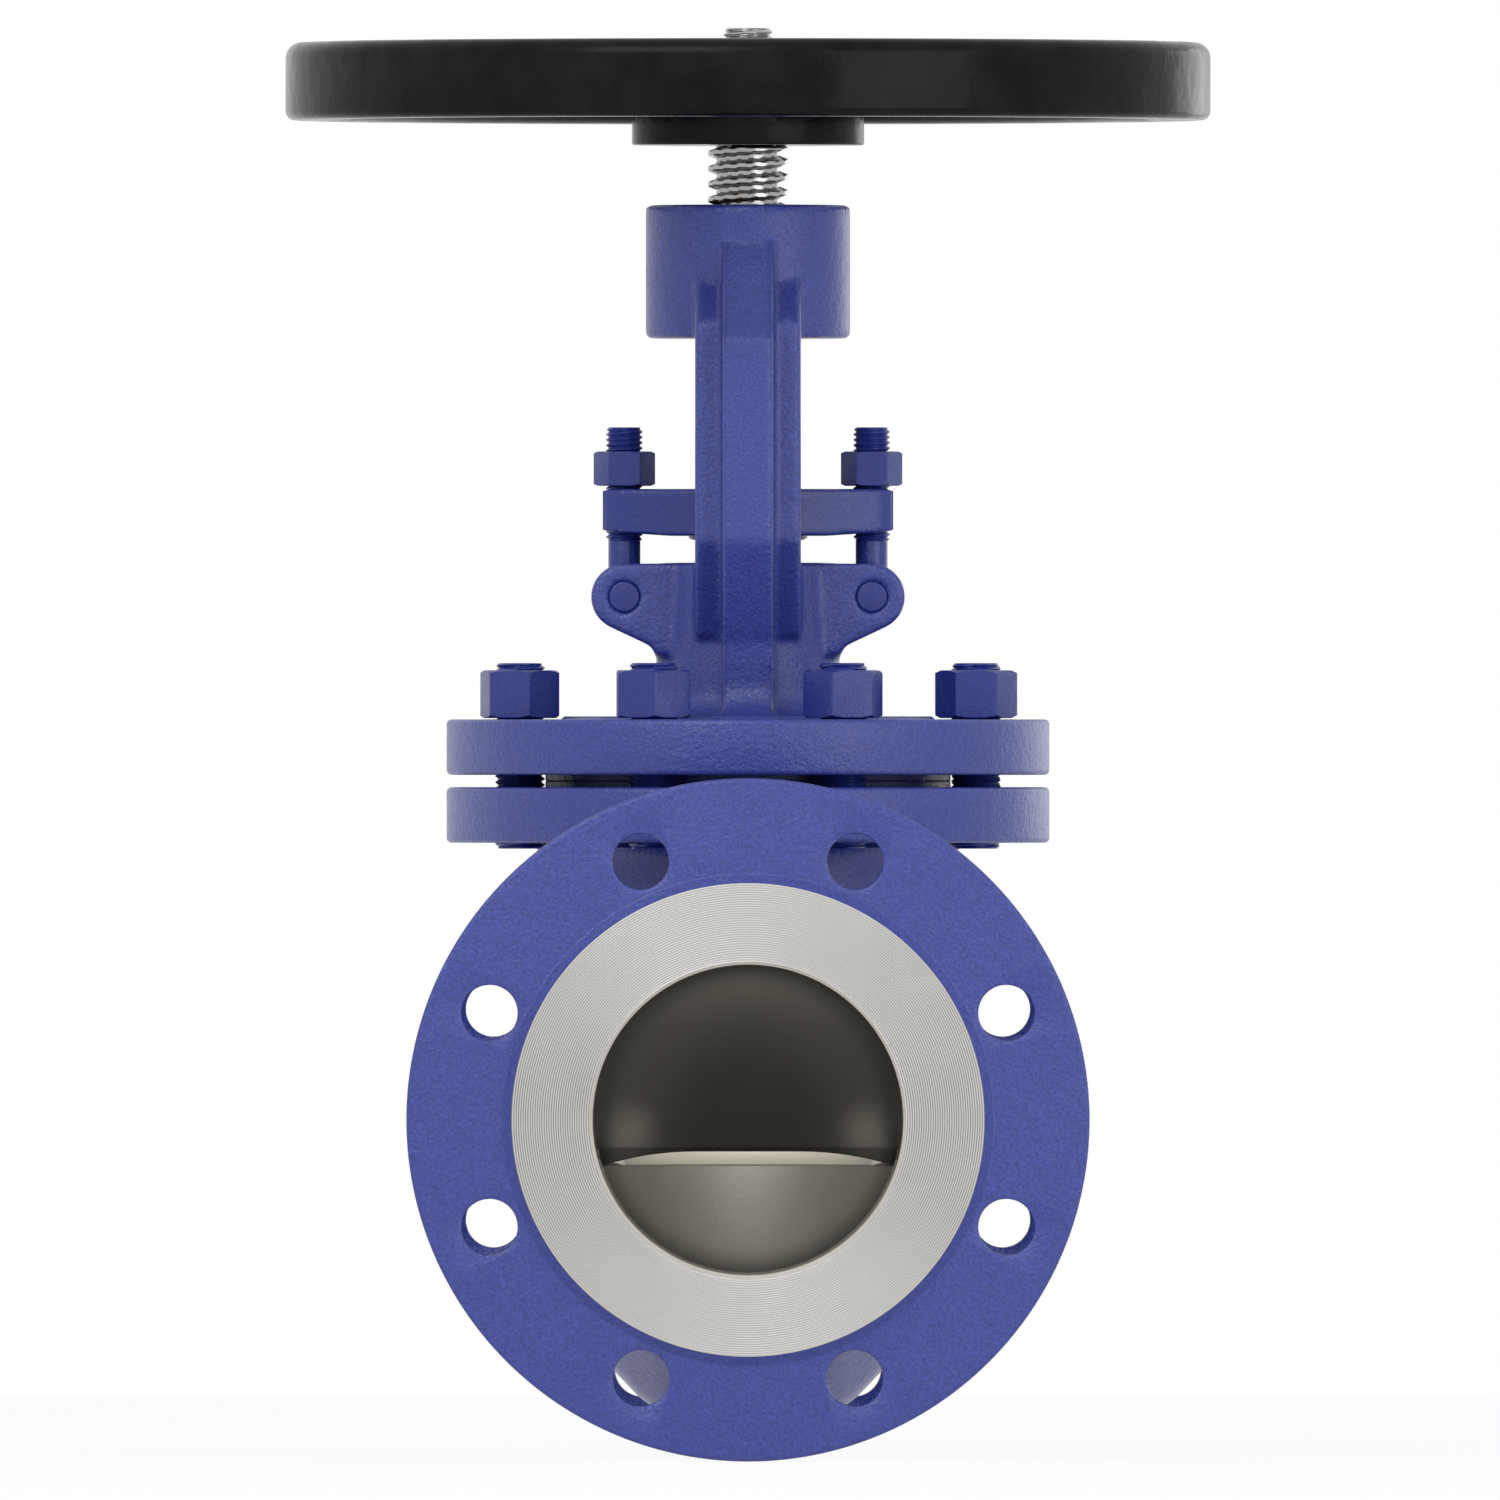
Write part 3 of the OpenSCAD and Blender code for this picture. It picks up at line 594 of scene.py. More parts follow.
@dataclass(frozen=True)
class BareCast:
    """The inside of the casting, grey and faintly warm, as blasted; where a second colour is given, painted
    light and painted glints are laid over it.
    """

    name: str = "bare_cast"
    colour: Colour = (0.330, 0.315, 0.275, 1.0)
    deep: Colour = (0.265, 0.250, 0.215, 1.0)
    rough: float = 0.47
    metal: float = 0.55
    # Painted light: a lighter colour toward the bore's wall, and painted glints in the two low corners.
    painted_light: Optional[Colour] = None
    painted_light_from: float = 0.012
    painted_light_to: float = 0.043
    wall_light: float = 0.42
    corner: Point = (0.0385, -0.004)
    corner_r: float = 0.013
    glint_share: float = 0.6

    def make(self) -> bpy.types.Material:
        """Builds the material.

        Returns:
            The material.
        """
        s = Surface(self.name)
        broad = s.noise(0.022, 3.0)
        fine = s.noise(0.0010, 2.0, 0.6)
        colour = s.mix(broad, self.colour, self.deep)
        if self.painted_light is not None:
            colour = s.mix(self.painted_light_mask(s), colour, self.painted_light)
        rough = self.rough + (fine - 0.5) * 0.2
        return s.close(
            Base_Color=colour, Metallic=self.metal, Roughness=rough, Normal=s.bump(fine, 0.00012, 0.7)
        )

    def painted_light_mask(self, s: Surface) -> Wire:
        """Where light is painted: more toward the bore's wall, with painted glints in its two low corners.

        Args:
            s: the surface that is being made.

        Returns:
            0 where no light is painted, and 1 where the lighter colour is painted in full.
        """
        x, z, radius = s.from_pipe()
        # Painted light: the roof grows lighter toward the bore's wall.
        near = s.maths("DIVIDE", radius - self.painted_light_from, self.painted_light_to - self.painted_light_from, clamp=True)
        aside, above = s.maths("ABSOLUTE", x) - self.corner[0], z - self.corner[1]
        off = s.maths("SQRT", aside * aside + above * above)
        # Painted glints: a soft spot of the lighter colour at each low corner of the roof.
        spot = s.maths("SUBTRACT", 1.0, off / self.corner_r, clamp=True)
        corners = spot * spot * (3.0 - spot * 2.0) * self.glint_share
        return s.maths("ADD", near * near * self.wall_light, corners, clamp=True)


@dataclass(frozen=True)
class TurnedSteel:
    """A steel face as the lathe leaves it, or one with less shine."""

    name: str
    colour: Colour
    rough: float
    metal: float = 1.0
    smear: float = 0.10

    def make(self) -> bpy.types.Material:
        """Builds the material.

        Returns:
            The material.
        """
        s = Surface(self.name)
        broad = s.noise(0.014, 3.0)
        fine = s.noise(0.0006, 2.0)
        colour = s.mix(broad, self.colour, darker(self.colour, 0.80))
        rough = self.rough + (broad - 0.5) * self.smear + (fine - 0.5) * 0.08
        return s.close(
            Base_Color=colour, Metallic=self.metal, Roughness=rough, Normal=s.bump(fine, 0.00002, 0.6)
        )


@dataclass(frozen=True)
class FacedSteel:
    """The faced sealing surface, with rings of painted light and shade along its fine grooves, stronger
    toward its sides, where the face is also painted darker.
    """

    name: str = "machined_face"
    # The lit and the shaded colour of the painted rings.
    light: Colour = (0.520, 0.511, 0.498, 1.0)
    groove_shade: Colour = (0.190, 0.186, 0.180, 1.0)
    rough: float = 0.42
    inner: float = 0.051
    pitch: float = 0.00075

    def make(self) -> bpy.types.Material:
        """Builds the material.

        Returns:
            The material.
        """
        s = Surface(self.name)
        x, _, radius = s.from_pipe()
        wave = 0.5 - s.maths("COSINE", (radius - self.inner) * (math.tau / self.pitch)) * 0.5
        # Painted light and shade: the rings' contrast grows toward the left and right, and the face is
        # painted darker there.
        aside = x * x / (radius * radius)
        broad = s.noise(0.020, 3.0)
        side_shade = 0.16 + aside * 0.30 + (broad - 0.5) * 0.2
        cut = s.maths("MULTIPLY_ADD", wave - 0.5, aside * 0.85 + 0.15, side_shade, clamp=True)
        colour = s.mix(cut, self.light, self.groove_shade)
        fine = s.noise(0.0006, 2.0)
        rough = self.rough + (broad - 0.5) * 0.1
        return s.close(Base_Color=colour, Metallic=1.0, Roughness=rough, Normal=s.bump(fine, 0.00002, 0.6))


@dataclass(frozen=True)
class BlackEnamel:
    """The glossy black enamel of the handwheel, with its slight runs and smears."""

    name: str = "black_enamel"
    colour: Colour = (0.0045, 0.0045, 0.0045, 1.0)
    pale: Colour = (0.0095, 0.0095, 0.0098, 1.0)
    shine: float = 0.09

    def make(self) -> bpy.types.Material:
        """Builds the material.

        Returns:
            The material.
        """
        s = Surface(self.name)
        smear = s.noise(0.022, 4.0, 0.65)
        runs = s.noise(0.007, 2.0)
        colour = s.mix(s.maths("MULTIPLY_ADD", smear, 4.0, -1.6, clamp=True), self.colour, self.pale)
        rough = 0.20 + (smear - 0.5) * 0.35
        return s.close(
            Base_Color=colour,
            Roughness=rough,
            Specular_IOR_Level=self.shine,
            Normal=s.bump(runs * 0.8 + smear, 0.0005, 0.5),
        )


@dataclass(frozen=True)
class Packing:
    """Braided graphite packing and the joint ring."""

    name: str = "graphite_braid"
    colour: Colour = (0.012, 0.012, 0.013, 1.0)
    pale: Colour = (0.045, 0.045, 0.048, 1.0)

    def make(self) -> bpy.types.Material:
        """Builds the material.

        Returns:
            The material.
        """
        s = Surface(self.name)
        fine = s.noise(0.0009, 3.0)
        colour = s.mix(fine, self.colour, self.pale)
        return s.close(Base_Color=colour, Roughness=0.45 + fine * 0.3, Normal=s.bump(fine, 0.0002, 0.8))


class Grower(Bench):
    """A tree of geometry nodes with named inputs."""

    def __init__(self, name: str, inputs: Dict[str, str]) -> None:
        """Makes the tree.

        Args:
            name: the tree's name.
            inputs: socket type of each named input.
        """
        super().__init__(bpy.data.node_groups.new(name, "GeometryNodeTree"))
        face = self.tree.interface
        face.new_socket("Geometry", in_out="OUTPUT", socket_type="NodeSocketGeometry")
        face.new_socket("Geometry", in_out="INPUT", socket_type="NodeSocketGeometry")
        for label, kind in inputs.items():
            face.new_socket(label, in_out="INPUT", socket_type="NodeSocket" + kind)
        self.feed = self.node("NodeGroupInput")

    def given(self, label: str) -> Wire:
        """One of the named inputs."""
        return self.wire(self.feed, label)

    def sheet(self, columns: Wire, rows: Wire) -> Tuple[Wire, Wire, Wire]:
        """Makes the flat sheet of points that a turned shape is wrapped from.

        Args:
            columns: number of points round the axis.
            rows: number of points along the outline.

        Returns:
            The sheet, each point's share of the full turn, and the number of its row.
        """
        sockets = {"Size X": 1.0, "Size Y": 1.0, "Vertices X": columns, "Vertices Y": rows}
        grid = self.wire(self.node("GeometryNodeMeshGrid", sockets), "Mesh")
        place = self.node("ShaderNodeSeparateXYZ", {0: self.wire(self.node("GeometryNodeInputPosition"))})
        return grid, self.wire(place, "X") + 0.5, (self.wire(place, "Y") + 0.5) * (rows - 1)

    def wrap(self, sheet: Wire, place: Wire) -> None:
        """Puts the sheet's points in their places, merges its seam and ends the tree.

        Args:
            sheet: the sheet.
            place: the place of each point.
        """
        shaped = self.wire(self.node("GeometryNodeSetPosition", {"Geometry": sheet, "Position": place}))
        merged = self.node("GeometryNodeMergeByDistance", {"Geometry": shaped, "Distance": 1e-6})
        self.end(self.wire(merged))

    def end(self, geometry: Wire) -> None:
        """Ends the tree in plain geometry with its material.

        Args:
            geometry: what the tree has made.
        """
        plain = self.wire(self.node("GeometryNodeRealizeInstances", {"Geometry": geometry}))
        done = self.node("GeometryNodeSetMaterial", {"Geometry": plain, "Material": self.given("Finish")})
        self.node("NodeGroupOutput", {"Geometry": self.wire(done)})

    def grow(self, name: str, start: Optional[bpy.types.Mesh], **values: object) -> bpy.types.Object:
        """Runs the tree and keeps its result as a plain mesh.

        Args:
            name: name of the new piece.
            start: mesh that the tree starts from, if it needs one.
            values: value of each named input.

        Returns:
            The new piece.
        """
        piece = link(name, start or bpy.data.meshes.new(name))
        step = piece.modifiers.new("grow", "NODES")
        step.node_group = self.tree
        inputs = [item for item in self.tree.interface.items_tree if item.in_out == "INPUT"]
        named = {item.name: item.identifier for item in inputs}
        for key, value in values.items():
            step[named[key]] = value
        return bake(piece)


@dataclass(frozen=True)
class Screw:
    """The sizes of a screw thread, and how finely its mesh is stepped."""

    crest: float
    root: float
    pitch: float
    around: int
    steps: float = 8.0
    flat: float = 0.12
    chamfer: float = 0.0012


class ThreadTree(Grower):
    """A threaded rod: a right-hand screw thread cut on a round bar, with chamfered ends."""

    def __init__(self) -> None:
        """Builds the tree."""
        sizes = ("Crest", "Root", "Pitch", "Flat", "Bottom", "Top", "Chamfer", "Steps")
        others = {"Around": "Int", "Foot": "Vector", "Finish": "Material"}
        super().__init__("screw_thread", {**dict.fromkeys(sizes, "Float"), **others})
        g = self.given
        length = g("Top") - g("Bottom")
        rows = self.maths("CEIL", length / g("Pitch") * g("Steps")) + 4
        sheet, turn, row = self.sheet(g("Around") + 1, rows)
        along = self.maths("DIVIDE", row - 1, rows - 3, clamp=True)
        height = g("Bottom") + along * length
        phase = self.maths("FRACT", height / g("Pitch") - turn + 100)
        ridge = self.maths("ABSOLUTE", phase - 0.5) * 2
        shape = self.maths("DIVIDE", ridge - g("Flat"), 1 - g("Flat") * 2, clamp=True)
        cut = g("Root") + (g("Crest") - g("Root")) * shape
        end = self.maths("MINIMUM", g("Top") - height, height - g("Bottom"))
        inside = (row > 0.5) * (row < rows - 1.5)
        radius = self.maths("MINIMUM", cut, g("Crest") - g("Chamfer") + end) * inside
        angle = turn * math.tau
        spot = {0: self.maths("COSINE", angle) * radius, 1: self.maths("SINE", angle) * radius, 2: height}
        place = self.wire(self.node("ShaderNodeCombineXYZ", spot))
        stood = self.node("ShaderNodeVectorMath", {0: place, 1: g("Foot")}, operation="ADD")
        self.wrap(sheet, self.wire(stood))

    def rod(
        self, name: str, screw: Screw, low: float, high: float, foot: Place, finish: bpy.types.Material
    ) -> bpy.types.Object:
        """Makes an upright threaded rod.

        Args:
            name: the object's name.
            screw: its thread.
            low: height of its lower end.
            high: height of its upper end.
            foot: where its axis meets height 0.
            finish: its material.

        Returns:
            The rod.
        """
        return self.grow(
            name,
            None,
            Crest=screw.crest,
            Root=screw.root,
            Pitch=screw.pitch,
            Flat=screw.flat,
            Bottom=low,
            Top=high,
            Chamfer=screw.chamfer,
            Around=screw.around,
            Steps=screw.steps,
            Foot=foot,
            Finish=finish,
        )


class GrooveTree(Grower):
    """A turned ring whose front face has fine concentric grooves."""

    def __init__(self) -> None:
        """Builds the tree."""
        sizes = ("Inner", "Outer", "Pitch", "Depth", "Front", "Back", "Steps")
        others = {"Around": "Int", "Finish": "Material"}
        super().__init__("grooved_face", {**dict.fromkeys(sizes, "Float"), **others})
        g = self.given
        width = g("Outer") - g("Inner")
        rows = self.maths("CEIL", width / g("Pitch") * g("Steps"))
        sheet, turn, row = self.sheet(g("Around") + 1, rows + 3)
        along = self.maths("DIVIDE", row - 1, rows - 1, clamp=True)
        front = (row > 0.5) * (row < rows + 0.5)
        radius = g("Inner") + width * along * (row < rows + 1.5)
        wave = 0.5 - self.maths("COSINE", width * along / g("Pitch") * math.tau) * 0.5
        toward = self.maths("SIGN", g("Back") - g("Front"))
        face = g("Front") + toward * g("Depth") * wave
        depth = g("Back") + (face - g("Back")) * front
        angle = turn * math.tau
        spot = {0: self.maths("COSINE", angle) * radius, 1: depth, 2: self.maths("SINE", angle) * radius}
        self.wrap(sheet, self.wire(self.node("ShaderNodeCombineXYZ", spot)))


class CopyTree(Grower):
    """Copies of one piece on points, each with its own turn about the vertical."""

    def __init__(self) -> None:
        """Builds the tree."""
        super().__init__("copies", {"Piece": "Object", "Finish": "Material"})
        turn = self.node("GeometryNodeInputNamedAttribute", {"Name": "turn"}, data_type="FLOAT")
        angles = self.node("ShaderNodeCombineXYZ", {2: self.wire(turn)})
        spin = self.node("FunctionNodeEulerToRotation", {0: self.wire(angles)})
        piece = self.node("GeometryNodeObjectInfo", {"Object": self.given("Piece"), "As Instance": True})
        placed = self.node(
            "GeometryNodeInstanceOnPoints",
            {
                "Points": self.given("Geometry"),
                "Instance": self.wire(piece, "Geometry"),
                "Rotation": self.wire(spin),
            },
        )
        self.end(self.wire(placed))

    def spread(
        self,
        name: str,
        piece: bpy.types.Object,
        spots: Sequence[Place],
        turns: Sequence[float],
        finish: bpy.types.Material,
    ) -> bpy.types.Object:
        """Copies a piece to the spots and uses it up.

        Args:
            name: name of the group of copies.
            piece: the piece that is copied.
            spots: place of each copy.
            turns: turn of each copy in degrees.
            finish: their material.

        Returns:
            The copies as one plain mesh.
        """
        points = bpy.data.meshes.new(name)
        points.from_pydata([tuple(s) for s in spots], [], [])
        turn = points.attributes.new("turn", "FLOAT", "POINT")
        turn.data.foreach_set("value", [math.radians(t) for t in turns])
        made = self.grow(name, points, Piece=piece, Finish=finish)
        bpy.data.objects.remove(piece)
        return made


class Workshop:
    """The finishes and trees that all sub-assemblies share, and how a finished piece is handed over."""

    def __init__(self) -> None:
        """Makes the finishes and the trees."""
        self.paint = CastPaint().make()
        self.fine_paint = CastPaint(
            name="fastener_paint",
            colour=(0.019, 0.037, 0.268, 1.0),
            deep=(0.015, 0.030, 0.230, 1.0),
            grain=0.0008,
            depth=0.00016,
            gloss=0.32,
        ).make()
        self.edge = BareCast(
            "bored_edge", (0.62, 0.60, 0.53, 1.0), (0.54, 0.52, 0.46, 1.0), rough=0.50, metal=0.42
        ).make()
        self.bare = BareCast(
            "blasted_cast", (0.290, 0.280, 0.240, 1.0), (0.250, 0.242, 0.206, 1.0), rough=0.55, metal=0.38
        ).make()
        # Painted shade: the roof over the way in gets a near-black colour for the shade that falls there,
        # with painted light toward the bore's wall and painted glints in its low corners.
        self.roof = BareCast(
            name="scaled_cast",
            colour=(0.047, 0.043, 0.036, 1.0),
            deep=(0.038, 0.035, 0.029, 1.0),
            rough=0.45,
            metal=0.3,
            painted_light=(0.215, 0.205, 0.175, 1.0),
        ).make()
        # The machined seat bore; its near-white colour also paints the light that the strip under the lip
        # catches.
        self.seat_bore = BareCast(
            "bored_seat", (0.95, 0.89, 0.75, 1.0), (0.92, 0.86, 0.72, 1.0), rough=0.55, metal=0.1
        ).make()
        self.face = FacedSteel().make()
        self.bright = TurnedSteel("polished_stem", (0.43, 0.425, 0.42, 1.0), 0.20).make()
        self.stainless = TurnedSteel("stainless_trim", (0.50, 0.49, 0.47, 1.0), 0.30).make()
        self.zinc = TurnedSteel("zinc_plate", (0.60, 0.60, 0.59, 1.0), 0.28).make()
        self.dark = TurnedSteel("dark_steel", (0.055, 0.062, 0.105, 1.0), 0.36, metal=0.75).make()
        self.bronze = TurnedSteel("bronze", (0.42, 0.25, 0.10, 1.0), 0.34).make()
        self.black = BlackEnamel().make()
        self.packing = Packing().make()
        self.thread = ThreadTree()
        self.grooves = GrooveTree()
        self.copies = CopyTree()

    def hand_over(
        self, piece: bpy.types.Object, body: str, slot: str, finish: Optional[bpy.types.Material], *nodes: str
    ) -> bpy.types.Object:
        """Dresses a finished piece and lets it ride on its body.

        Args:
            piece: the finished piece.
            body: the body that carries it.
            slot: a material slot's name, which is not used.
            finish: its material, or None where its faces already have theirs.
            nodes: solids of the model that it stands for.

        Returns:
            The piece.
        """
        if finish is not None:
            piece.data.materials.clear()
            piece.data.materials.append(finish)
        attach(piece, body)
        if nodes:
            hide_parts(*nodes)
        LOG.info("%s: %d faces on %s", piece.name, len(piece.data.polygons), body)
        return piece

    def dress(self, finish: bpy.types.Material, *nodes: str) -> None:
        """Gives solids of the model their finish as they are.

        Args:
            finish: the material.
            nodes: the solids.
        """
        for node in nodes:
            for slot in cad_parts[node].material_slots:
                slot.material = finish
            LOG.info("%s: dressed", node)


def ring_spots(count: int, circle: float) -> List[Place]:
    """Places of bolts spread evenly round the stem, straddling the pipe, at height 0.

    Args:
        count: number of bolts.
        circle: diameter of their circle.

    Returns:
        The places.
    """
    out = []
    for k in range(count):
        a = math.pi / count + math.tau * k / count
        out.append((circle / 2 * math.cos(a), STEM_Y + circle / 2 * math.sin(a), 0.0))
    return out


@dataclass
class PipeEnd:
    """One pipe flange with its raised face."""

    shop: Workshop
    node: str
    face: float
    inward: float
    flange_r: float = 0.110
    face_r: float = 0.0762
    root_r: float = 0.0792
    bore_r: float = 0.050
    tuck: float = 0.0006
    land: float = 0.0010
    raise_h: float = 0.003
    face_t: float = 0.0018
    thickness: float = 0.0205
    front_edge: float = 0.0012
    back_edge: float = 0.0022
    hole_r: float = 0.009
    flare: float = 0.0007
    circle_r: float = 0.090
    holes: int = 8
    groove_pitch: float = 0.00075
    groove_depth: float = 0.00010
    bored_depth: float = 0.0180

    def at(self, depth: float) -> float:
        """Place along the pipe of a depth under the raised face."""
        return self.face + self.inward * depth

    def flange(self) -> bpy.types.Object:
        """Makes the painted flange with its bolt holes.

        Returns:
            The flange.
        """
        hole, under = self.bore_r + self.tuck, 0.0008
        corners = [
            (hole, under, 0.0),
            (self.face_r - 0.0003, under, 0.0),
            (self.face_r - 0.0001, 0.0003, 0.0),
            (self.root_r, self.raise_h, self.front_edge),
            (self.flange_r, self.raise_h, self.front_edge),
            (self.flange_r, self.thickness, self.back_edge),
            (hole, self.thickness, 0.0),
        ]
        outline = [(r, self.at(d)) for r, d in rounded(corners, 5)]
        ring = lathe(self.node + "_plate", outline, Axis.PIPE, 224)
        for k in range(self.holes):
            combine(ring, self.drill((k + 0.5) * math.tau / self.holes), Cut.AWAY)
        return shade(ring)

    def drill(self, turn: float) -> bpy.types.Object:
        """The cutter of one bolt hole, flared at both faces so that the edge comes out broken.

        Args:
            turn: angle of the hole round the pipe.

        Returns:
            The cutter, in its place.
        """
        r, flare, past = self.hole_r, self.flare, 0.004
        near, far, broken = self.raise_h, self.thickness, self.flare * 0.35
        shape = [
            (0.0, near - past),
            (r + flare + past, near - past),
            (r + flare, near),
            (r + broken, near + broken),
            (r, near + flare),
            (r, far - flare),
            (r + broken, far - broken),
            (r + flare, far),
            (r + flare + past, far + past),
            (0.0, far + past),
        ]
        tool = lathe("drill", [(x, self.at(d)) for x, d in shape], Axis.PIPE, 48)
        return moved(tool, *Vector((self.circle_r * math.cos(turn), 0.0, self.circle_r * math.sin(turn))))

    def raised_face(self) -> bpy.types.Object:
        """Makes the machined sealing face with its concentric grooves.

        Returns:
            The ring that carries the face.
        """
        return self.shop.grooves.grow(
            self.node + "_raised_face",
            None,
            Inner=self.bore_r + self.land,
            Outer=self.face_r,
            Pitch=self.groove_pitch,
            Depth=self.groove_depth,
            Front=self.face,
            Back=self.at(self.face_t),
            Around=192,
            Steps=4.0,
            Finish=self.shop.face,
        )

    def bore_edge(self) -> bpy.types.Object:
        """Makes the chamfered edge of the bore and the machined start of the way in.

        Returns:
            The lining of the bore's start.
        """
        r, land = self.bore_r, self.land
        corners = [
            (r, land, 0.0003),
            (r, self.bored_depth, 0.0),
            (r + 0.0008, self.bored_depth, 0.0),
            (r + land + 0.0002, 0.0004, 0.0),
            (r + land, 0.0001, 0.0),
        ]
        outline = [(radius, self.at(d)) for radius, d in rounded(corners)]
        return shade(lathe(self.node + "_bore_edge", outline, Axis.PIPE, 160))

    def build(self) -> None:
        """Builds and hands over the flange, the sealing face and the bore edge."""
        shop = self.shop
        shop.hand_over(self.flange(), "valve", "cast_blue", shop.paint, self.node)
        shop.hand_over(shade(self.raised_face(), 60), "valve", "cast_blue", shop.face, self.node)
        shop.hand_over(self.bore_edge(), "valve", "cast_blue", shop.edge, self.node)


@dataclass
class BonnetJoint:
    """One of the two flanges of the bolted joint under the bonnet."""

    shop: Workshop
    name: str
    node: str
    low: float
    high: float
    rim_low: float
    rim_high: float
    hole_in: float
    pad_r: float = 0.0
    flange_r: float = 0.09775
    edge: float = 0.0016
    rim_r: float = 0.0657
    rim_edge: float = 0.0003
    pad_edge: float = 0.0006
    stud_circle: float = 0.160
    studs: int = 8
    hole_r: float = 0.0087

    def build(self) -> None:
        """Builds and hands over the flange."""
        corners: List[Corner] = [(self.hole_in, self.rim_low, 0.0)]
        if self.rim_low < self.low:
            corners += [(self.rim_r, self.rim_low, self.rim_edge), (self.rim_r, self.low, 0.0)]
        corners += [(self.flange_r, self.low, self.edge), (self.flange_r, self.high, self.edge)]
        if self.pad_r:
            top_r = self.pad_r - 0.001
            corners += [(self.pad_r, self.high, self.pad_edge), (top_r, self.rim_high, self.pad_edge)]
        else:
            corners += [(self.rim_r, self.high, 0.0), (self.rim_r, self.rim_high, self.rim_edge)]
        corners.append((self.hole_in, self.rim_high, 0.0))
        ring = lathe(self.name, rounded(corners, 5), Axis.STEM, 224)
        past = 0.01
        for x, y, _ in ring_spots(self.studs, self.stud_circle):
            tool = tube("drill", 0.0, self.hole_r, self.low - past, self.high + past, Axis.STEM, 40)
            combine(ring, moved(tool, x, y - STEM_Y), Cut.AWAY)
        self.shop.hand_over(shade(ring), "valve", "cast_blue", self.shop.paint, self.node)


class Inside(Enum):
    """The surfaces of the casting, by material index."""

    SKIN = 0
    BOWL = 1
    SEAT_BORE = 2
    ROOF = 3


@dataclass
class BodyCasting:
    """The round belly with its necks, cast in one, and the ways inside it.

    The roof is the slope over the way in, which ends in the lip of the seat's bore.
    """

    shop: Workshop
    voxel: float = 0.0017
    rounds: int = 9
    bore_r: float = 0.050
    pocket_r: float = 0.0625
    joint_z: float = 0.109
    seat_bore_r: float = 0.046
    seat_slack: float = 0.0015
    slack: float = 0.0002
    bridge_low: float = -0.0156
    end_cut: float = 0.018
    neck_cut: float = 0.0670
    neck_end: float = 0.0212
    top_cut: float = 0.100
    collar_r: float = 0.0680
    collar_low: float = 0.0875
    collar_high: float = 0.12
    roof_voxel: float = 0.0015
    roof_rounds: int = 60
    roof_near: float = 0.020
    roof_foot: float = -0.0098
    roof_end: float = 0.1275
    roof_top: float = 0.052
    roof_run: float = 0.013
    roof_forward: float = 0.00028
    lap: float = 0.00002
    nodes: Tuple[str, ...] = ("valve_body", "inlet_flange", "outlet_flange", "body_flange")

    def build(self) -> None:
        """Builds and hands over the casting."""
        shop = self.shop
        whole = joined_copy("body_casting_copy", *self.nodes)
        self.plug(whole)
        cast, hollow = shells(whole)
        cast.name = cast.data.name = "body_casting"
        soften(cast, self.voxel, self.rounds)
        self.trim(cast)
        self.ease_roof(hollow)
        # The roof's finish paints its shade, and the seat bore's near-white colour paints the light on its
        # strip.
        finishes = (shop.paint, shop.bare, shop.seat_bore, shop.roof)
        for piece in (cast, hollow):
            piece.data.materials.clear()
            for finish in finishes:
                piece.data.materials.append(finish)
        for face in hollow.data.polygons:
            face.material_index = self.zone(face.center).value
        combine(cast, hollow, Cut.AWAY)
        shop.hand_over(shade(cast, 38), "valve", "cast_blue", None, *self.nodes)

    def plug(self, whole: bpy.types.Object) -> None:
        """Closes the ways into the casting, so that its hollow becomes a shell of its own.

        Args:
            whole: the casting, as the model has it.
        """
        past, deep, shallow = 0.001, 0.002, 0.0015
        for low, high in ((-past, deep), (PIPE_LENGTH - deep, PIPE_LENGTH + past)):
            combine(whole, tube("plug", 0.0, self.bore_r + past, low, high, Axis.PIPE), Cut.JOIN)
        low, high = self.joint_z - shallow, self.joint_z + past
        combine(whole, tube("plug", 0.0, self.pocket_r + past, low, high, Axis.STEM), Cut.JOIN)

    def ease_roof(self, hollow: bpy.types.Object) -> None:
        """Runs out the creases of the roof, and leaves its lip crisp.

        Args:
            hollow: the ways inside the casting, as a solid.
        """
        soft = link("soft_roof", hollow.data.copy())
        soften(soft, self.roof_voxel, self.roof_rounds, self.off_lip)
        moved(soft, y=-self.roof_forward)
        near, far = self.roof_near, STEM_Y - self.seat_bore_r + self.slack
        low, lap = self.roof_foot, self.lap
        combine(soft, block("keep", (-BEYOND, near, low), (BEYOND, far, BEYOND)), Cut.KEEP)
        combine(hollow, block("off", (-BEYOND, near + lap, low + lap), (BEYOND, far - lap, BEYOND)), Cut.AWAY)
        combine(hollow, soft, Cut.JOIN)

    def off_lip(self, place: Vector) -> float:
        """How strongly the roof is smoothed at a place.

        Args:
            place: a corner of its mesh.

        Returns:
            0 at the lip, and 1 further up the slope.
        """
        up = (place.z - self.roof_foot) / self.roof_run
        out = (self.roof_end - place.y) / self.roof_run
        return min(1.0, max(0.0, min(up, out)))

    def trim(self, cast: bpy.types.Object) -> None:
        """Cuts the casting back to where the flanges take over.

        Args:
            cast: the outside of the casting.
        """
        near, far, past = self.end_cut, PIPE_LENGTH - self.end_cut, 0.01
        combine(cast, block("keep", (-BEYOND, near, -BEYOND), (BEYOND, far, self.top_cut)), Cut.KEEP)
        for low, high in ((near - past, self.neck_end), (PIPE_LENGTH - self.neck_end, far + past)):
            combine(cast, tube("trim", self.neck_cut, TRIM_R, low, high, Axis.PIPE), Cut.AWAY)
        collar = tube("trim", self.collar_r, TRIM_R, self.collar_low, self.collar_high, Axis.STEM)
        combine(cast, collar, Cut.AWAY)

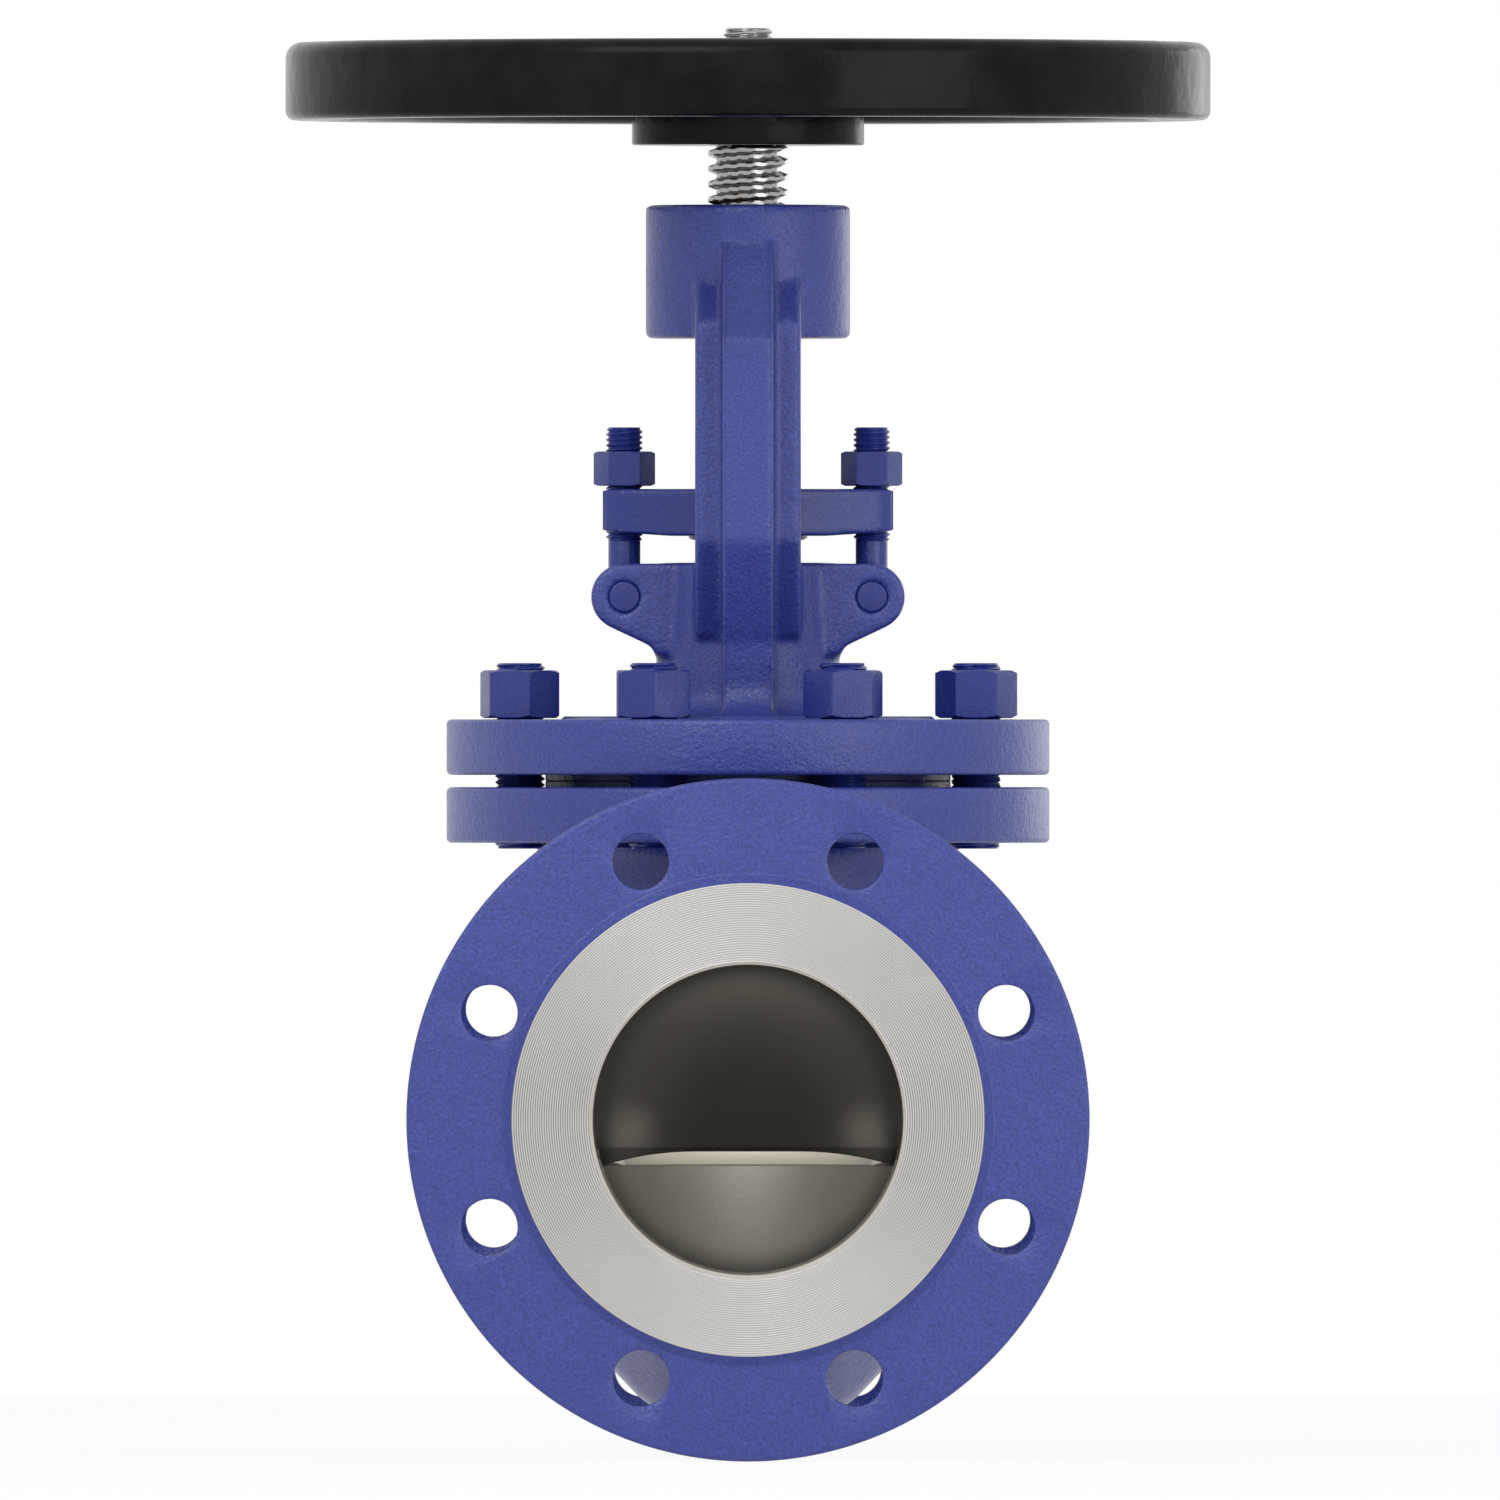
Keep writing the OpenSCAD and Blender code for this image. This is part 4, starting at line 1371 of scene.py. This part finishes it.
    def zone(self, place: Vector) -> Inside:
        """The kind of surface that lies at a place inside the casting.

        Args:
            place: the middle of a face.

        Returns:
            Its kind.
        """
        from_stem = math.hypot(place.x, place.y - STEM_Y)
        if place.z < self.bridge_low + 1e-4:
            return Inside.BOWL
        reach = self.seat_slack if place.z < self.roof_foot else self.slack
        if place.z < 0.0 and from_stem < self.seat_bore_r + reach:
            return Inside.SEAT_BORE
        # The roof, which takes the painted shade.
        if place.y < STEM_Y - self.seat_bore_r + 0.001 and place.z < self.roof_top:
            return Inside.ROOF
        return Inside.BOWL


@dataclass
class YokeCasting:
    """The stuffing box neck, the lugs, the two arms and the boss, cast in one."""

    shop: Workshop
    voxel: float = 0.0011
    rounds: int = 7
    pad_r: float = 0.0590
    pad_low: float = 0.11
    pad_top: float = 0.1297
    sunk: float = 0.004

    def build(self) -> None:
        """Builds and hands over the casting."""
        cast = soften(joined_copy("yoke_casting", "bonnet", "yoke"), self.voxel, self.rounds)
        foot = self.pad_top - self.sunk
        combine(cast, block("keep", (-BEYOND, 0.0, foot), (BEYOND, 2 * BEYOND, 2 * BEYOND)), Cut.KEEP)
        combine(cast, tube("trim", self.pad_r, TRIM_R, self.pad_low, self.pad_top, Axis.STEM), Cut.AWAY)
        self.shop.hand_over(shade(cast, 50), "valve", "cast_blue", self.shop.paint, "bonnet", "yoke")


@dataclass
class JointBolts:
    """The studs and nuts of the bonnet joint."""

    shop: Workshop
    circle: float = 0.160
    thread: Screw = Screw(crest=0.008, root=0.0069, pitch=0.002, around=32, steps=6.0)
    bottom: float = 0.0871
    top: float = 0.1472
    stud_turn: float = 17.0
    nut_low: float = 0.1294
    nut_high: float = 0.1449
    nut_r: float = 0.0134
    turns: Tuple[float, ...] = (12, 52, 27, 40, 44, 33, 15, 0)

    def build(self) -> None:
        """Builds and hands over the studs and the nuts."""
        shop, paint, count = self.shop, self.shop.fine_paint, len(self.turns)
        spots = ring_spots(count, self.circle)
        stud = shop.thread.rod("stud", self.thread, self.bottom, self.top, (0.0, 0.0, 0.0), paint)
        turns = [self.stud_turn * k for k in range(count)]
        studs = shop.copies.spread("bonnet_stud_set", stud, spots, turns, paint)
        shop.hand_over(shade(studs, 50), "valve", "dark_steel", paint, "bonnet_studs")
        nut = hex_nut("nut", self.nut_r, self.nut_low, self.nut_high, self.thread.crest)
        nuts = shop.copies.spread("bonnet_nut_set", nut, spots, self.turns, paint)
        shop.hand_over(shade(nuts, 25), "valve", "painted_blue", paint, "bonnet_nuts")


def hex_nut(name: str, corner_r: float, low: float, high: float, bore_r: float) -> bpy.types.Object:
    """A hexagon nut with chamfered corners and a countersunk bore, on the origin's vertical.

    Args:
        name: the object's name.
        corner_r: radius at the corners.
        low: height of its lower face.
        high: height of its upper face.
        bore_r: radius of the bore.

    Returns:
        The nut.
    """
    work = bmesh.new()
    turns = [k * math.pi / 3 for k in range(6)]
    foot, head = (
        [work.verts.new((corner_r * math.cos(a), corner_r * math.sin(a), z)) for a in turns]
        for z in (low, high)
    )
    work.faces.new(foot[::-1])
    work.faces.new(head)
    for k in range(6):
        work.faces.new((foot[k], foot[(k + 1) % 6], head[(k + 1) % 6], head[k]))
    nut = from_bmesh(name, work)
    step = nut.modifiers.new("edge", "BEVEL")
    step.width, step.segments, step.limit_method = 0.0003, 2, "ANGLE"
    bake(nut)
    across = corner_r * math.cos(math.pi / 6) * 0.97
    rise = (corner_r - across) * 0.55
    wide, over = corner_r + 0.0005, 1e-4
    hull = [
        (0.0, low - over),
        (across, low - over),
        (wide, low + rise),
        (wide, high - rise),
        (across, high + over),
        (0.0, high + over),
    ]
    combine(nut, moved(lathe("hull", hull, Axis.STEM, 96), y=-STEM_Y), Cut.KEEP)
    sink, tight, past = bore_r * 1.12, bore_r + 2e-5, 0.001
    bore = [
        (0.0, low - past),
        (sink, low - past),
        (sink, low),
        (tight, low + sink - bore_r),
        (tight, high - sink + bore_r),
        (sink, high),
        (sink, high + past),
        (0.0, high + past),
    ]
    return combine(nut, moved(lathe("bore", bore, Axis.STEM, 48), y=-STEM_Y), Cut.AWAY)


@dataclass
class Stem:
    """The rising stem: head, polished shank, trapezoidal thread, square and end thread."""

    shop: Workshop
    shank_r: float = 0.013
    head_r: float = 0.017
    foot: float = 0.036
    head_top: float = 0.0459
    edge: float = 0.001
    thread: Screw = Screw(0.013, 0.0103, 0.005, around=96, steps=16.0, flat=0.30, chamfer=0.0008)
    thread_low: float = 0.2225
    thread_top: float = 0.3152
    square: float = 0.018
    square_top: float = 0.3322
    square_edge: float = 0.0006
    end_thread: Screw = Screw(crest=0.008, root=0.0069, pitch=0.002, around=48)
    tip: float = 0.3532
    lap: float = 0.001

    def build(self) -> None:
        """Builds and hands over the stem's pieces."""
        rod, bright, axis = self.shop.thread.rod, self.shop.bright, (0.0, STEM_Y, 0.0)
        corners = [
            (0.0, self.foot, 0.0),
            (self.head_r, self.foot, self.edge),
            (self.head_r, self.head_top, self.edge),
            (self.shank_r, self.head_top, self.edge),
            (self.shank_r, self.thread_low, 0.0006),
            (0.0, self.thread_low, 0.0),
        ]
        self.give(shade(lathe("stem_shank", rounded(corners), Axis.STEM, 96)))
        low = self.thread_low - self.lap
        self.give(shade(rod("stem_thread", self.thread, low, self.thread_top, axis, bright), 40))
        low = self.square_top - self.lap
        self.give(shade(rod("stem_end_thread", self.end_thread, low, self.tip, axis, bright), 50))
        half, low = self.square / 2, self.thread_top - 0.0005
        square = block("stem_square", (-half, STEM_Y - half, low), (half, STEM_Y + half, self.square_top))
        step = square.modifiers.new("edge", "BEVEL")
        step.width, step.segments = self.square_edge, 3
        self.give(shade(bake(square)))

    def give(self, piece: bpy.types.Object) -> None:
        """Hands over a piece of the stem."""
        self.shop.hand_over(piece, "stem_set", "polished_steel", self.shop.bright, "stem")


@dataclass
class Gland:
    """The gland flange with its two eyebolts, their nuts and their pins."""

    shop: Workshop
    voxel: float = 0.0008
    rounds: int = 5
    pin_x: float = 0.0401
    pin_z: float = 0.1687
    pin_r: float = 0.005
    pin_half: float = 0.017
    pin_edge: float = 0.0007
    pin_fit: float = 0.0001
    eye_r: float = 0.0102
    eye_half: float = 0.0068
    eye_edge: float = 0.0012
    shank_r: float = 0.0052
    thread: Screw = Screw(crest=0.006, root=0.0051, pitch=0.00175, around=40, chamfer=0.001)
    thread_low: float = 0.1866
    tip: float = 0.2237
    nut_low: float = 0.2047
    nut_high: float = 0.2159
    nut_r: float = 0.01005
    sleeve_bore: float = 0.0132
    sleeve_r: float = 0.0194
    sleeve_neck_r: float = 0.0165
    sleeve_low: float = 0.1655
    sleeve_high: float = 0.1955

    def build(self) -> None:
        """Builds and hands over the pieces of the gland."""
        shop, sides = self.shop, (("left", -1.0), ("right", 1.0))
        flange = soften(solid_copy("gland_flange", "gland_flange_casting"), self.voxel, self.rounds)
        shop.hand_over(shade(flange, 50), "gland_set", "cast_blue", shop.fine_paint, "gland_flange")
        self.follower()
        for name, side in sides:
            self.eyebolt(side, name + "_eyebolt", "eyebolt_" + name)
            self.nut(side, name + "_gland_nut", "gland_nut_" + name)
        for name, side in sides:
            pin = self.crosswise("lug_pin_" + name, side, self.pin_r, self.pin_half, 0.0, self.pin_edge)
            self.give(shade(pin), "valve", "lug_pins")

    def give(self, piece: bpy.types.Object, body: str, node: str) -> None:
        """Hands over a painted fastener."""
        self.shop.hand_over(piece, body, "painted_blue", self.shop.fine_paint, node)

    def spot(self, side: float, height: float) -> Vector:
        """The place of an eyebolt's axis at a height, left for side -1 and right for side 1."""
        return Vector((side * self.pin_x, STEM_Y, height))

    def follower(self) -> None:
        """Builds the follower: the nose in the box, the bare neck and the collar under the flange."""
        corners = [
            (self.sleeve_bore, self.sleeve_low, 0.0),
            (self.sleeve_r, self.sleeve_low, 0.0005),
            (self.sleeve_r, 0.1776, 0.0),
            (self.sleeve_neck_r, 0.1784, 0.0),
            (self.sleeve_neck_r, 0.1868, 0.0),
            (self.sleeve_r - 0.0004, 0.1876, 0.0003),
            (self.sleeve_r, 0.1886, 0.0),
            (self.sleeve_r, self.sleeve_high, 0.0),
            (self.sleeve_bore, self.sleeve_high, 0.0),
        ]
        sleeve = lathe("gland_follower_sleeve", rounded(corners), Axis.STEM, 96)
        self.shop.hand_over(shade(sleeve), "gland_set", "dark_steel", self.shop.dark, "gland_follower")

    def eyebolt(self, side: float, body: str, node: str) -> None:
        """Builds one eyebolt.

        Args:
            side: -1 for the left one and 1 for the right one.
            body: the body that it rides on.
            node: the solid that it stands for.
        """
        hole = self.pin_r + self.pin_fit
        eye = self.crosswise(node + "_eye", side, self.eye_r, self.eye_half, hole, self.eye_edge)
        self.give(shade(eye), body, node)
        low, high, x = self.pin_z + self.pin_r + 0.002, self.thread_low + 0.0008, side * self.pin_x
        corners = [(0.0, low, 0.0), (self.shank_r, low, 0.0), (self.shank_r, high, 0.0006), (0.0, high, 0.0)]
        shank = moved(lathe(node + "_shank", rounded(corners), Axis.STEM, 48), x)
        self.give(shade(shank), body, node)
        foot, paint = (x, STEM_Y, 0.0), self.shop.fine_paint
        thread = self.shop.thread.rod(node + "_thread", self.thread, self.thread_low, self.tip, foot, paint)
        self.give(shade(thread, 50), body, node)

    def crosswise(
        self, name: str, side: float, radius: float, half: float, hole: float, edge: float
    ) -> bpy.types.Object:
        """A round piece along the pipe's direction, at an eyebolt's pin.

        Args:
            name: the object's name.
            side: -1 for the left eyebolt and 1 for the right one.
            radius: its outer radius.
            half: half its length.
            hole: radius of the hole through it.
            edge: radius of its edges.

        Returns:
            The piece.
        """
        corners = [(hole, -half, 0.0), (radius, -half, edge), (radius, half, edge), (hole, half, 0.0)]
        made = lathe(name, rounded(corners), Axis.PIPE, 64)
        return moved(made, *self.spot(side, self.pin_z))

    def nut(self, side: float, body: str, node: str) -> None:
        """Builds one gland nut.

        Args:
            side: -1 for the left one and 1 for the right one.
            body: the body that it rides on.
            node: the solid that it stands for.
        """
        nut = hex_nut(node + "_hex", self.nut_r, self.nut_low, self.nut_high, self.thread.crest)
        self.give(shade(moved(nut, *self.spot(side, 0.0)), 25), body, node)


@dataclass
class Handwheel:
    """The handwheel with its spokes, washer and nut."""

    shop: Workshop
    rim_r: float = 0.150
    rim_w: float = 0.020
    rim_low: float = 0.3233
    rim_high: float = 0.3485
    hub_in: float = 0.009
    hub_r: float = 0.0377
    hub_low: float = 0.3152
    hub_high: float = 0.3332
    spokes: int = 5
    spoke_w: float = 0.024
    spoke_t: float = 0.009
    spoke_raise: float = 0.003
    spoke_start: float = 90.0
    spoke_steps: int = 16
    spoke_around: int = 24
    bulge: float = 0.75
    hub_flare: float = 0.30
    rim_flare: float = 0.20
    washer_in: float = 0.0085
    washer_r: float = 0.015
    washer_top: float = 0.3362
    nut_r: float = 0.0136
    nut_top: float = 0.3492
    nut_bore: float = 0.008

    def build(self) -> None:
        """Builds and hands over the wheel and what holds it."""
        shop, inner, top = self.shop, self.rim_r - self.rim_w, self.washer_top
        corners = [
            (inner, self.rim_low, 0.008),
            (self.rim_r, self.rim_low, 0.003),
            (self.rim_r, self.rim_high, 0.005),
            (inner, self.rim_high, 0.008),
        ]
        self.give(shade(lathe("handwheel_rim", rounded(corners, 8), Axis.STEM, 256)))
        corners = [
            (self.hub_in, self.hub_low, 0.0),
            (self.hub_r, self.hub_low, 0.0008),
            (self.hub_r, self.hub_high - 0.001, 0.003),
            (self.hub_in, self.hub_high, 0.0),
        ]
        self.give(shade(lathe("handwheel_hub", rounded(corners), Axis.STEM, 128)))
        turns = [self.spoke_start + 360.0 / self.spokes * k for k in range(self.spokes)]
        spots = [(0.0, STEM_Y, 0.0)] * self.spokes
        self.give(shade(shop.copies.spread("handwheel_spokes", self.spoke(), spots, turns, shop.black), 50))
        corners = [
            (self.washer_in, self.hub_high, 0.0),
            (self.washer_r, self.hub_high, 0.0003),
            (self.washer_r, top, 0.0005),
            (self.washer_in, top, 0.0),
        ]
        washer = lathe("wheel_washer_ring", rounded(corners), Axis.STEM, 64)
        shop.hand_over(shade(washer), "stem_set", "zinc_steel", shop.zinc, "handwheel_washer")
        nut = moved(hex_nut("wheel_nut_hex", self.nut_r, top, self.nut_top, self.nut_bore), y=STEM_Y)
        shop.hand_over(shade(nut, 25), "stem_set", "zinc_steel", shop.zinc, "handwheel_nut")

    def give(self, piece: bpy.types.Object) -> None:
        """Hands over a piece of the wheel."""
        self.shop.hand_over(piece, "stem_set", "black_iron", self.shop.black, "handwheel")

    def swell(self, share: float) -> float:
        """A share of the half width of the spoke's section, fuller than on an ellipse."""
        return math.copysign(abs(share) ** self.bulge, share)

    def spoke(self) -> bpy.types.Object:
        """Makes one spoke along +X from the stem axis: an oval bar that rises from the hub to the rim.

        Returns:
            The spoke.
        """
        work = bmesh.new()
        low = (self.hub_low + self.hub_high) / 2 + self.spoke_raise
        high = (self.rim_low + self.rim_high) / 2
        start, end, reach = self.hub_r - 0.008, self.rim_r - self.rim_w + 0.006, self.rim_r - self.rim_w / 2
        count = self.spoke_around
        rings = []
        for k in range(self.spoke_steps + 1):
            t = k / self.spoke_steps
            x = start + (end - start) * t
            z = low + (high - low) * x / reach
            flare = 1.0 + self.hub_flare * (1 - t) ** 4 + self.rim_flare * t**6
            ring = []
            for i in range(count):
                a = math.tau * i / count
                y = self.spoke_w / 2 * self.swell(math.cos(a)) * flare
                ring.append(work.verts.new((x, y, z + self.spoke_t / 2 * self.swell(math.sin(a)))))
            rings.append(ring)
        for one, two in zip(rings, rings[1:]):
            for i in range(count):
                work.faces.new((one[i], one[(i + 1) % count], two[(i + 1) % count], two[i]))
        work.faces.new(rings[0])
        work.faces.new(rings[-1][::-1])
        return from_bmesh("spoke", work)


@dataclass
class InnerTrim:
    """The pieces inside the valve, which keep the shapes of the model."""

    shop: Workshop

    def build(self) -> None:
        """Dresses the inner pieces."""
        shop = self.shop
        shop.dress(shop.stainless, "seat_ring", "disc", "disc_nut", "backseat_bush")
        shop.dress(shop.dark, "thrust_pad", "packing_washer", "yoke_bush_pin")
        shop.dress(shop.packing, "body_gasket", "packing_rings")
        shop.dress(shop.bronze, "yoke_bush")


@dataclass
class Studio:
    """The pale room, its lamps and the camera of the photograph."""

    lens: float = 1650.0
    sensor: float = 36.0
    frame_w: float = 0.48465
    plane_y: float = 0.09
    aim_x: float = 0.00065
    aim_z: float = 0.11906
    white: Colour = (1.0, 1.0, 1.0, 1.0)
    room_light: float = 0.60
    floor_z: float = -0.110
    floor_colour: Colour = (0.86, 0.86, 0.86, 1.0)
    floor_glow: float = 0.94
    valve: Place = (0.0, STEM_Y, 0.10)
    bore: Place = (0.0, 0.03, 0.0)
    snoot_rise: float = -0.4
    snoot_far: float = 3.0
    snoot_r: float = 0.048
    snoot_soft: float = 0.006
    snoot_blend: float = 0.15
    snoot_power: float = 248.0

    def build(self) -> None:
        """Makes the room, the lamps and the camera."""
        self.camera()
        self.world()
        self.floor()
        self.lamp("key", (-0.9, -1.9, 1.7), 1.6, 26.0)
        self.lamp("fill", (1.4, -1.6, 0.5), 1.4, 11.0)
        self.lamp("edge", (1.5, 2.4, 0.35), 1.2, 5.0)
        self.snoot()

    def camera(self) -> None:
        """Puts the camera square in front of the inlet flange."""
        data = bpy.data.cameras.new("camera")
        data.lens, data.sensor_width = self.lens, self.sensor
        distance = self.frame_w / 2 / (self.sensor / 2 / self.lens)
        data.clip_start, data.clip_end = 0.1, distance * 3
        made = bpy.data.objects.new("camera", data)
        made.location = (self.aim_x, self.plane_y - distance, self.aim_z)
        made.rotation_euler = (math.pi / 2, 0.0, 0.0)
        bpy.context.scene.collection.objects.link(made)
        bpy.context.scene.camera = made

    def hang(self, data: bpy.types.Light, place: Place, aim: Place) -> bpy.types.Object:
        """Hangs a lamp.

        Args:
            data: the lamp.
            place: where it hangs.
            aim: the place that it faces.

        Returns:
            The lamp's object.
        """
        made = bpy.data.objects.new(data.name, data)
        made.location = place
        made.rotation_euler = (Vector(aim) - Vector(place)).to_track_quat("-Z", "Y").to_euler()
        bpy.context.scene.collection.objects.link(made)
        return made

    def lamp(self, name: str, place: Place, size: float, power: float) -> None:
        """Adds a soft square lamp that faces the valve.

        Args:
            name: the lamp's name.
            place: where it hangs.
            size: length of its sides.
            power: its power in watts.
        """
        data = bpy.data.lights.new(name, "AREA")
        data.size, data.energy = size, power
        self.hang(data, place, self.valve)

    def snoot(self) -> None:
        """A narrow lamp on the camera's line, which looks into the bore."""
        data = bpy.data.lights.new("snoot", "SPOT")
        data.energy, data.shadow_soft_size = self.snoot_power, self.snoot_soft
        data.spot_blend = self.snoot_blend
        data.spot_size = 2 * math.atan(self.snoot_r / self.snoot_far)
        height = self.snoot_far * math.tan(math.radians(self.snoot_rise))
        self.hang(data, (0.0, -self.snoot_far, height), self.bore).visible_camera = False

    def world(self) -> None:
        """White to the camera and in reflections, a little less as light."""
        world = bpy.data.worlds.new("room")
        world.use_nodes = True
        w = Bench(world.node_tree)
        path = w.node("ShaderNodeLightPath")
        seen = w.maths("MAXIMUM", w.wire(path, "Is Camera Ray"), w.wire(path, "Is Glossy Ray"))
        seen = w.maths("MAXIMUM", seen, w.wire(path, "Is Transmission Ray"))
        light = w.node("ShaderNodeBackground", {"Color": self.white, "Strength": self.room_light})
        show = w.node("ShaderNodeBackground", {"Color": self.white, "Strength": 1.0})
        both = w.node("ShaderNodeMixShader", {0: seen, 1: w.wire(light), 2: w.wire(show)})
        w.node("ShaderNodeOutputWorld", {"Surface": w.wire(both)})
        bpy.context.scene.world = world

    def floor(self) -> None:
        """A pale floor that keeps the valve's shadow."""
        room = block("floor", (-2.0, -1.8, self.floor_z - 0.01), (2.0, 2.2, self.floor_z))
        s = Surface("floor_white")
        pale = s.node("ShaderNodeBsdfDiffuse", {"Color": self.floor_colour})
        glow = s.node("ShaderNodeEmission", {"Color": self.white, "Strength": 1.0})
        path = s.node("ShaderNodeLightPath")
        seen = s.maths("MAXIMUM", s.wire(path, "Is Camera Ray"), s.wire(path, "Is Glossy Ray"))
        both = s.node("ShaderNodeMixShader", {0: seen * self.floor_glow, 1: s.wire(pale), 2: s.wire(glow)})
        s.node("ShaderNodeOutputMaterial", {"Surface": s.wire(both)})
        room.data.materials.append(s.material)


def main() -> None:
    """Builds the studio and the valve, piece by piece."""
    logging.basicConfig(level=logging.INFO, format="%(name)s %(message)s")
    bpy.context.scene.view_settings.view_transform = "Standard"
    Studio().build()
    shop = Workshop()
    PipeEnd(shop, "inlet_flange", face=0.0, inward=1.0).build()
    PipeEnd(shop, "outlet_flange", face=PIPE_LENGTH, inward=-1.0).build()
    BodyCasting(shop).build()
    BonnetJoint(
        shop,
        "body_joint_flange",
        "body_flange",
        low=0.089,
        high=0.107,
        rim_low=0.089,
        rim_high=0.109,
        hole_in=0.0582,
    ).build()
    BonnetJoint(
        shop,
        "bonnet_joint_flange",
        "bonnet",
        low=0.111,
        high=0.129,
        rim_low=0.109,
        rim_high=0.130,
        hole_in=0.020,
        pad_r=0.0606,
    ).build()
    YokeCasting(shop).build()
    JointBolts(shop).build()
    Stem(shop).build()
    Gland(shop).build()
    Handwheel(shop).build()
    InnerTrim(shop).build()


if __name__ == "__main__":
    main()
